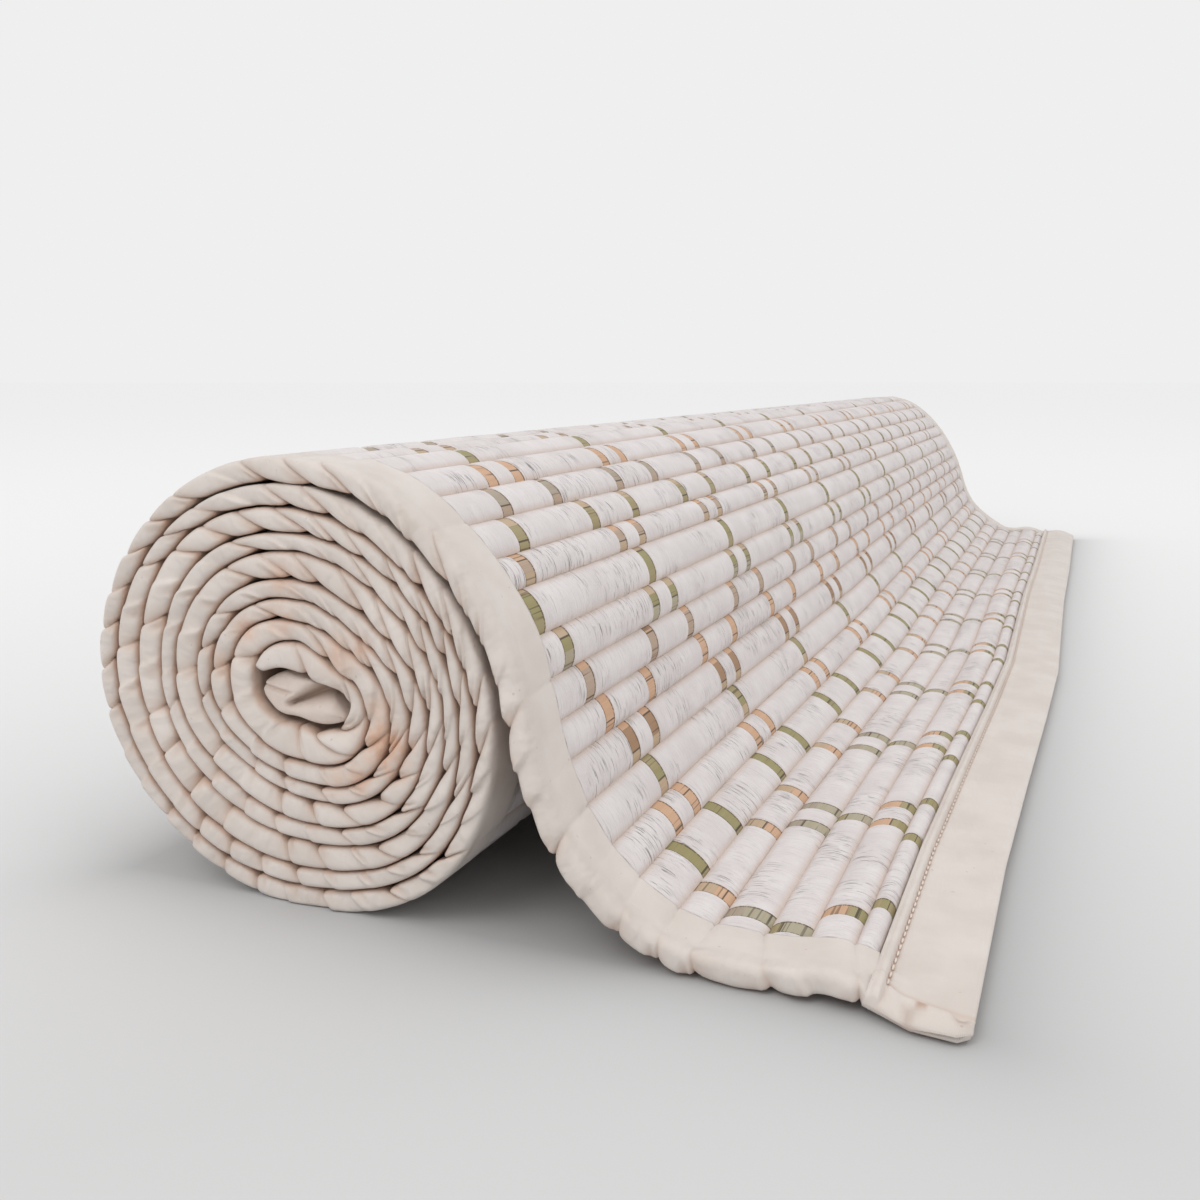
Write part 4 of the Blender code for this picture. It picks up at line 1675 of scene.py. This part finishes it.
@dataclass
class OuterEndBinding:
    """The flat tape over the loose end, with its raised seam and the hem at its near corner.

    The rows are the tape's cuts by their distance from its tip, in millimetres. The flat rows are where
    they begin, how far before the seam they end and their step, and the raised rows how far before the
    seam they begin, how far past the tape's width they may go and their step.
    """

    course: Course
    drawing: Drawing
    name: str = "end_binding_outer_tape"
    hem: Hem = Hem()
    width: float = 21.5
    near_overhang: float = 3.5
    far_overhang: float = 2.5
    ridge_width: float = 2.6
    ridge_height: float = 1.3
    ridge_middle: float = 1.1
    ridge_spread: float = 0.95
    seam_before: float = 0.5
    seam_depth: float = 0.45
    seam_spread: float = 0.45
    # Width of the painted shade line along the seam's groove
    seam_shade_line: float = 0.4
    pucker: float = 0.25
    pucker_before: float = 1.0
    pucker_pitch: float = 5.2
    pucker_drift: float = 11.0
    pucker_spread: float = 1.6
    tip_rows: tuple[float, ...] = (0.25, 0.6)
    flat_rows: tuple[float, float, float] = (1.2, 1.6, 0.95)
    raised_rows: tuple[float, float, float] = (1.4, 0.3, 0.35)
    under_rows: tuple[float, ...] = (12.0, 3.0, 0.8)
    rows: int = 260
    end_rows: int = 6
    end_cut: float = 3.0
    fine_rows: float = 0.4
    fine_reach: float = 14.0
    tip_round: float = 2.4
    tip_thin: float = 0.75
    end_round: float = 3.2
    end_thin: float = 0.8
    dips: int = 46
    dip_range: tuple[float, float] = (-0.22, 0.12)
    dip_size: tuple[float, float] = (4.0, 12.0)
    dip_stretch: float = 2.2
    setback_reach: float = 25.0
    floor_gap: float = 0.02
    crumple: float = 0.25
    seed: int = 11

    @property
    def ridge(self) -> float:
        """Return how far from the tip the raised seam begins."""
        return self.width - self.ridge_width

    def section(self) -> tuple[Array, Array]:
        """Return the cross-section along the mat: over the outer face, and back under it.

        Returns:
            Distances from the tip, and 1 on the outer face or -1 on the inner one.
        """
        start, before, step = self.flat_rows
        flat = np.arange(start, self.ridge - before, step)
        before, past, step = self.raised_rows
        raised = np.arange(self.ridge - before, self.width + past, step)
        top = np.concatenate([self.tip_rows, flat, raised])
        under = np.array([self.width, *self.under_rows])
        return np.concatenate([top, under]), np.concatenate([np.ones(len(top)), -np.ones(len(under))])

    def across(self) -> Array:
        """Return where the tape is cut across the mat, closer in its rounded ends and its hem.

        Returns:
            Distances from the mat's near edge.
        """
        rounded = 1 - np.cos(np.linspace(0, math.pi / 2, self.end_rows))
        near = -self.near_overhang + rounded * self.end_cut
        far = self.course.width + self.far_overhang - rounded[::-1] * self.end_cut
        hem = np.arange(near[-1] + self.fine_rows, self.fine_reach, self.fine_rows)
        return np.concatenate([near, hem, np.linspace(hem[-1], far[0], self.rows)[1:-1], far])

    def waves(self, s: Array, y: Array) -> Array:
        """Return the shallow dips and rises of the tape, in millimetres.

        Args:
            s: distances from the loose tip.
            y: distances from the mat's near edge.
        Returns:
            Heights at each place.
        """
        draw = np.random.default_rng(self.seed)
        wave = np.zeros_like(s)
        for _ in range(self.dips):
            at_y, at_s = draw.uniform(0, self.course.width), draw.uniform(2, self.ridge)
            size = draw.uniform(*self.dip_size)
            long, short = (y - at_y) / (self.dip_stretch * size), (s - at_s) / size
            wave += draw.uniform(*self.dip_range) * np.exp(-(long**2) - (short**2))
        return wave

    def seam(self, s: Array, y: Array) -> Array:
        """Return the height of the raised seam, with the groove beside it and its puckers.

        Args:
            s: distances from the loose tip.
            y: distances from the mat's near edge.
        Returns:
            Heights in millimetres.
        """
        crest = np.exp(-(((s - self.ridge - self.ridge_middle) / self.ridge_spread) ** 4)) * self.ridge_height
        groove = self.seam_depth * bell(s - self.ridge + self.seam_before, self.seam_spread)
        puckers = np.sin(y * math.tau / self.pucker_pitch + np.sin(y / self.pucker_drift))
        near = bell(s - self.ridge + self.pucker_before, self.pucker_spread)
        return crest - groove + self.pucker * puckers * near

    @staticmethod
    def rounded(depth: Array) -> Array:
        """Return how far an edge is rounded off, from 1 on it to 0 where its depth is past 1."""
        return 1 - np.sqrt(np.maximum(0, 1 - np.clip(1 - depth, 0, 1) ** 2))

    def build(self, material: bpy.types.Material) -> bpy.types.Object:
        """Build the tape.

        Args:
            material: the tape's finish.
        Returns:
            The finished piece.
        """
        along, side = self.section()
        across = self.across()
        s, y = np.meshgrid(along, across)
        middle, facing, thickness = self.course.at(s, y)
        tip = self.rounded(s / self.tip_round)
        from_end = np.minimum(y + self.near_overhang, self.course.width + self.far_overhang - y)
        end = self.rounded(from_end / self.end_round)
        reach = thickness / 2 * (1 - self.tip_thin * tip) * (1 - self.end_thin * end)
        inside = np.clip(1 - tip - end, 0, 1)
        outer = reach + self.seam(s, y) + (self.waves(s, y) + self.hem.relief(s, y)) * inside
        spots = middle + facing * np.where(side[None, :] > 0, outer, -reach)[..., None]
        setback = np.interp(s, *zip(*NEAR_END))
        setback = setback * np.clip(1 - (y + self.near_overhang) / self.setback_reach, 0, 1)
        spots = np.stack([spots[..., 0], y + setback, np.maximum(spots[..., 1], self.floor_gap)], axis=-1)
        faces = Meshes.tube_faces(len(across), len(along))
        thing = Meshes.object_from(self.name, self.drawing.place(spots.reshape(-1, 3)), faces)
        Finish.outward(thing)
        painted_fold_shade, spot, painted_shade = self.hem.looks(s, y)
        # Painted shade: a dark line along the seam's groove, with the hem's shadow line and its shaded
        # opening and dip
        seam = bell(s - self.ridge + self.seam_before, self.seam_shade_line) * (1 - self.hem.over_seam(s, y))
        looks = {"along": s * MM, "across": y * MM, "stain": spot, "painted_shade": painted_shade}
        looks |= {"fold": np.clip(painted_fold_shade + seam, 0, 1), "crumple": np.array(self.crumple)}
        Finish.dress(thing, looks, s.shape, material)
        return thing


@dataclass
class InnerEndBinding:
    """The tape over the inner end, folded back on itself in the eye of the roll.

    A line on its face is given by its two ends. A pair of widths or depths is the value at the first end,
    and what it gains to the second.
    """

    course: Course
    drawing: Drawing
    name: str = "end_binding_inner_tape"
    tuck: float = 1.8
    rounding: float = 1.3
    round_rows: tuple[float, ...] = (0.0, 22.0, 45.0, 68.0, 90.0)
    outline_steps: int = 8
    cap_rings: int = 26
    cap_start: float = 0.03
    middle: tuple[float, float] = (-12.0, 49.6)
    slit: tuple[tuple[float, float], tuple[float, float]] = ((-15.4, 48.8), (-5.4, 53.2))
    slit_width: tuple[float, float] = (0.6, 1.3)
    slit_share: tuple[float, float] = (0.6, 0.4)
    slit_depth: float = 5.5
    tongue: tuple[tuple[float, float], tuple[float, float]] = ((-13.5, 47.3), (-3.4, 48.0))
    tongue_width: tuple[float, float] = (1.6, 1.0)
    tongue_height: float = 1.2
    chunk: tuple[float, float] = (-17.0, -13.5)
    chunk_fold: tuple[float, float] = (-23.0, 52.3)
    chunk_slope: float = 0.12
    fold_width: float = 0.45
    fold_depth: float = 0.9
    facet: tuple[float, float] = (3.5, 0.45)
    side_facet: tuple[float, float] = (-21.0, 0.16)
    side_limits: tuple[float, float] = (-3.0, 4.0)
    # Painted shade along the chunk's fold, and deep inside the roll
    chunk_fold_painted_shade: float = 0.3
    dark_inside: tuple[float, float] = (8.0, 12.0)
    stain_share: float = 0.6
    # Painted fold shade laid evenly over the whole piece
    painted_fold_shade: float = 0.3

    @staticmethod
    def beside(
        x: Array, z: Array, line: tuple[tuple[float, float], tuple[float, float]]
    ) -> tuple[Array, Array]:
        """Return how far points are from a line between two points, and how far along it.

        Args:
            x: the points' drawing x.
            z: the points' drawing z.
            line: the line's two ends.
        Returns:
            Distances in millimetres, and shares of the line from 0 to 1.
        """
        (x0, z0), (x1, z1) = line
        dx, dz = x1 - x0, z1 - z0
        share = np.clip(((x - x0) * dx + (z - z0) * dz) / (dx * dx + dz * dz), 0, 1)
        return np.hypot(x - x0 - share * dx, z - z0 - share * dz), share

    def relief(self, x: Array, z: Array) -> tuple[Array, Array]:
        """Return how deep the folded cloth lies on the eye's face, and how much painted shade it gets.

        Args:
            x: the points' drawing x.
            z: the points' drawing z.
        Returns:
            Depths in millimetres, and painted shade from 0 to 1.
        """
        gap, share = self.beside(x, z, self.slit)
        valley = bell(gap, blend(self.slit_width, share)) * blend(self.slit_share, share)
        axis, along = self.beside(x, z, self.tongue)
        tongue = bell(axis, blend(self.tongue_width, np.sin(math.pi * along)))
        above = z - (self.chunk_fold[1] - self.chunk_slope * (x - self.chunk_fold[0]))
        chunk = 1 - soft_step(x, *self.chunk)
        fold = bell(above, self.fold_width) * chunk
        facet = np.clip(above, 0, self.facet[0]) * self.facet[1] * chunk
        facet = facet - np.clip(x - self.side_facet[0], *self.side_limits) * self.side_facet[1] * chunk
        depth = self.slit_depth * valley - self.tongue_height * tongue + self.fold_depth * fold + facet
        # The slit's valley and the chunk's fold also get painted shade
        return depth, np.clip(valley + self.chunk_fold_painted_shade * fold, 0, 1)

    def rings(self) -> tuple[Array, Array]:
        """Return the rings of its near face, from its middle to its outline.

        Returns:
            The rings' points (x, z), and how far each ring lies behind the face.
        """
        outline = Course.smooth(np.array([*FOLDED_END, FOLDED_END[0]], float), self.outline_steps)[:-1]
        ahead = np.roll(outline, -1, axis=0) - np.roll(outline, 1, axis=0)
        inwards = np.stack([-ahead[:, 1], ahead[:, 0]], axis=1) / np.linalg.norm(ahead, axis=1)[:, None]
        following = np.roll(outline, -1, axis=0)
        turning = np.sign(np.sum(outline[:, 0] * following[:, 1] - following[:, 0] * outline[:, 1]))
        angle = np.radians(self.round_rows)
        back, shrink = self.rounding * (1 - np.sin(angle)), self.rounding * (1 - np.cos(angle))
        rim = outline + inwards * turning * self.rounding
        middle = np.array(self.middle)
        cap = [middle + (rim - middle) * k for k in np.linspace(self.cap_start, 1, self.cap_rings)[:-1]]
        edge = [outline + inwards * turning * k for k in shrink[::-1]]
        return np.array(cap + edge), np.concatenate([np.zeros(len(cap)), back[::-1]])

    def build(self, material: bpy.types.Material) -> bpy.types.Object:
        """Build the folded tape.

        Args:
            material: the tape's finish.
        Returns:
            The finished piece.
        """
        rings, back = self.rings()
        deep, dark = self.relief(rings[..., 0], rings[..., 1])
        depth = self.tuck + back[:, None] + deep
        near = np.stack([rings[..., 0], depth, rings[..., 1]], axis=-1)
        far = np.stack([rings[..., 0], self.course.width - depth, rings[..., 1]], axis=-1)[::-1]
        spots = np.concatenate([near, far]).reshape(-1, 3)
        faces = Meshes.tube_faces(2 * len(rings), rings.shape[1])
        thing = Meshes.object_from(self.name, self.drawing.place(spots), faces)
        Finish.outward(thing)
        dark = np.concatenate([dark.ravel(), dark.ravel()[::-1]])
        # Painted shade deep inside the roll, and in the slit and along the chunk's fold
        inside = soft_step(np.minimum(spots[:, 1], self.course.width - spots[:, 1]), *self.dark_inside)
        looks = {"along": spots[:, 0] * MM, "across": (spots[:, 1] + spots[:, 2]) * MM}
        looks |= {"stain": Finish.stain(spots, True) * self.stain_share, "painted_shade": np.maximum(inside, dark)}
        looks |= {"fold": np.array(self.painted_fold_shade), "crumple": np.array(1.0)}
        Finish.dress(thing, looks, (len(spots),), material)
        return thing


@dataclass
class Stitches:
    """The row of stitches beside the raised seam of the loose end."""

    course: Course
    drawing: Drawing
    name: str = "end_seam_stitches"
    seam: float = 18.4
    lift: float = -0.1
    margin: float = 1.0
    path_points: int = 200
    pitch: float = 3.2
    length: float = 2.3
    thickness: float = 0.5
    bead: tuple[int, int, float] = (6, 4, 0.5)

    def path(self) -> bpy.types.Object:
        """Lay a line along the seam.

        Returns:
            The line, as an object of points and edges.
        """
        y = np.linspace(self.margin, self.course.width - self.margin, self.path_points)
        middle, facing, thickness = self.course.at(np.full(len(y), self.seam), y)
        spots = middle + facing * (thickness / 2 + self.lift)[:, None]
        places = self.drawing.place(np.stack([spots[:, 0], y, spots[:, 1]], axis=1))
        data = bpy.data.meshes.new(self.name)
        data.from_pydata(places.tolist(), [(i, i + 1) for i in range(len(y) - 1)], [])
        thing = bpy.data.objects.new(self.name, data)
        bpy.context.scene.collection.objects.link(thing)
        return thing

    def tree(self, material: bpy.types.Material) -> Tree:
        """Build the tree that sets a stitch at each step of a line.

        Args:
            material: the thread's finish.
        Returns:
            The tree.
        """
        t = Tree("stitches")
        pitch, length, thick = t.number("Pitch"), t.number("Length"), t.number("Thickness")
        curve = t.node("GeometryNodeMeshToCurve", t.start.outputs[0]).outputs[0]
        even = t.node("GeometryNodeResampleCurve", curve, mode="LENGTH")
        t.group.links.new(pitch, next(socket for socket in even.inputs if socket.name == "Length"))
        bead = t.node("GeometryNodeMeshUVSphere", *self.bead).outputs[0]
        tangent = t.node("GeometryNodeInputTangent").outputs[0]
        turn = t.node("FunctionNodeAlignRotationToVector", None, None, tangent, axis="Z").outputs[0]
        size = t.node("ShaderNodeCombineXYZ", thick, thick, length).outputs[0]
        inputs = (even.outputs[0], None, bead, None, None, turn, size)
        t.close(t.node("GeometryNodeInstanceOnPoints", *inputs).outputs[0], material)
        return t

    def build(self, material: bpy.types.Material) -> bpy.types.Object:
        """Sew the stitches along the seam.

        Args:
            material: the thread's finish.
        Returns:
            The finished piece.
        """
        values = {"Pitch": self.pitch * MM, "Length": self.length * MM, "Thickness": self.thickness * MM}
        return self.tree(material).bake(self.path(), values)


class Lamp(NamedTuple):
    """A square soft lamp that points at the frame's origin: its place and size in metres, and its power."""

    name: str
    place: tuple[float, float, float]
    size: float
    power: float


LAMPS = (
    Lamp("key", (-0.35, -1.25, 1.25), 0.9, 6.0),
    Lamp("fill", (1.1, -0.5, 1.2), 1.0, 2.2),
)


@dataclass
class Studio:
    """Pale floor that fades into a plain backdrop, soft lights and the camera."""

    drawing: Drawing
    eye: tuple[float, float, float] = (154.4, -220.5, 124.0)
    gaze: tuple[float, float, float] = (-0.3750, 0.9085, -0.1843)
    lens: float = 36.0
    sensor: float = 36.0
    clip: tuple[float, float] = (0.01, 20.0)
    floor_size: float = 60.0
    floor_drop: float = 0.0003
    near_tone: float = 0.64
    far_tone: float = 0.985
    fade_centre: tuple[float, float, float] = (0.12, -0.6, 0.0)
    fade_from: float = 0.2
    fade_over: float = 0.6
    # Painted contact shadow around the mat's footprint: its strength, reach and half size
    shade: float = 0.32
    shade_reach: float = 0.018
    footprint: tuple[float, float] = (0.104, 0.378)
    room: float = 0.863

    def fade(self, s: Shader, place: bpy.types.NodeSocket) -> bpy.types.NodeSocket:
        """Return the floor's tone, darker in front of the mat than further off.

        Args:
            s: the floor's material.
            place: the floor's place.
        Returns:
            The tone's socket.
        """
        away = s.vector("DISTANCE", place, self.fade_centre, output="Value")
        faded = s.math("EXPONENT", s.math("DIVIDE", s.math("SUBTRACT", self.fade_from, away), self.fade_over))
        near, far = (self.near_tone,) * 3 + (1.0,), (self.far_tone,) * 3 + (1.0,)
        return s.mix(s.math("MINIMUM", faded, 1.0), far, near)

    def painted_contact_shadow(self, s: Shader, place: bpy.types.NodeSocket) -> bpy.types.NodeSocket:
        """Return the painted contact shadow: how near the floor is to the mat's footprint.

        Args:
            s: the floor's material.
            place: the floor's place.
        Returns:
            A socket that gives 1 under the mat and falls to 0 beside it.
        """
        beyond = s.vector("SUBTRACT", s.vector("ABSOLUTE", place), (*self.footprint, 1.0))
        gap = s.vector("LENGTH", s.vector("MAXIMUM", beyond, (0.0, 0.0, 0.0)), output="Value")
        return s.math("EXPONENT", s.math("DIVIDE", gap, -self.shade_reach))

    def floor(self) -> None:
        """Lay the floor, so pale far off that it runs into the backdrop, with a painted contact shadow around
        the mat.
        """
        half = self.floor_size / 2
        flat = ((-half, -half), (half, -half), (half, half), (-half, half))
        spots = np.array([(x, y, -self.floor_drop) for x, y in flat])
        thing = Meshes.object_from("floor", spots, [(0, 1, 2, 3)])
        s = Shader("floor", roughness=0.95, specular=0.0)
        place = s.node("ShaderNodeTexCoord").outputs["Object"]
        # Painted contact shadow, darkest under the mat
        shaded = s.math("MULTIPLY", self.painted_contact_shadow(s, place), self.shade)
        s.colour(s.mix(shaded, self.fade(s, place), (0.0, 0.0, 0.0, 1.0)))
        thing.data.materials.append(s.material)

    def lights(self) -> None:
        """Hang the soft lights and light the room evenly."""
        world = bpy.data.worlds.new("room")
        bpy.context.scene.world = world
        world.use_nodes = True
        background = world.node_tree.nodes["Background"]
        background.inputs[0].default_value = (1.0, 1.0, 1.0, 1.0)
        background.inputs[1].default_value = self.room
        for lamp in LAMPS:
            data = bpy.data.lights.new(lamp.name, "AREA")
            data.energy = lamp.power
            data.size = lamp.size
            thing = bpy.data.objects.new(lamp.name, data)
            thing.location = lamp.place
            thing.rotation_mode = "QUATERNION"
            thing.rotation_quaternion = (-Vector(lamp.place)).to_track_quat("-Z", "Y")
            bpy.context.scene.collection.objects.link(thing)

    def camera(self) -> None:
        """Set the camera at the photograph's place."""
        data = bpy.data.cameras.new("camera")
        data.lens = self.lens
        data.sensor_width = self.sensor
        data.clip_start, data.clip_end = self.clip
        thing = bpy.data.objects.new("camera", data)
        thing.location = self.drawing.place(np.array(self.eye))
        thing.rotation_mode = "QUATERNION"
        thing.rotation_quaternion = Vector(self.gaze).to_track_quat("-Z", "Y")
        bpy.context.scene.collection.objects.link(thing)
        bpy.context.scene.camera = thing
        bpy.context.scene.view_settings.view_transform = "Standard"


def main() -> None:
    """Build and dress every piece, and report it."""
    logging.basicConfig(level=logging.INFO, format="%(name)s: %(message)s")
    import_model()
    drawing = Drawing.from_frame()
    course = Course()
    studio = Studio(drawing)
    studio.camera()
    tape = BindingCloth().material()
    weave = WovenMat(course, drawing)
    mat = weave.build()
    near = SideBinding(course, drawing, 0.0, 1, "side_binding_near_tape", 3, FINE_PUFFS).build(tape)
    far = SideBinding(course, drawing, course.width, -1, "side_binding_far_tape", 5, PLAIN_PUFFS).build(tape)
    outer = OuterEndBinding(course, drawing).build(tape)
    inner = InnerEndBinding(course, drawing).build(tape)
    stitches = Stitches(course, drawing).build(SewingThread().material())
    stood_for = {
        mat: "woven_mat",
        near: "side_binding_near",
        far: "side_binding_far",
        outer: "end_binding_outer",
        inner: "end_binding_inner",
    }
    for piece in (mat, near, far, outer, inner, stitches):
        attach(piece, "root")
        if piece in stood_for:
            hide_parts(stood_for[piece])
        LOG.info("%s: %d faces", piece.name, len(piece.data.polygons))
    studio.floor()
    studio.lights()


if __name__ == "__main__":
    main()
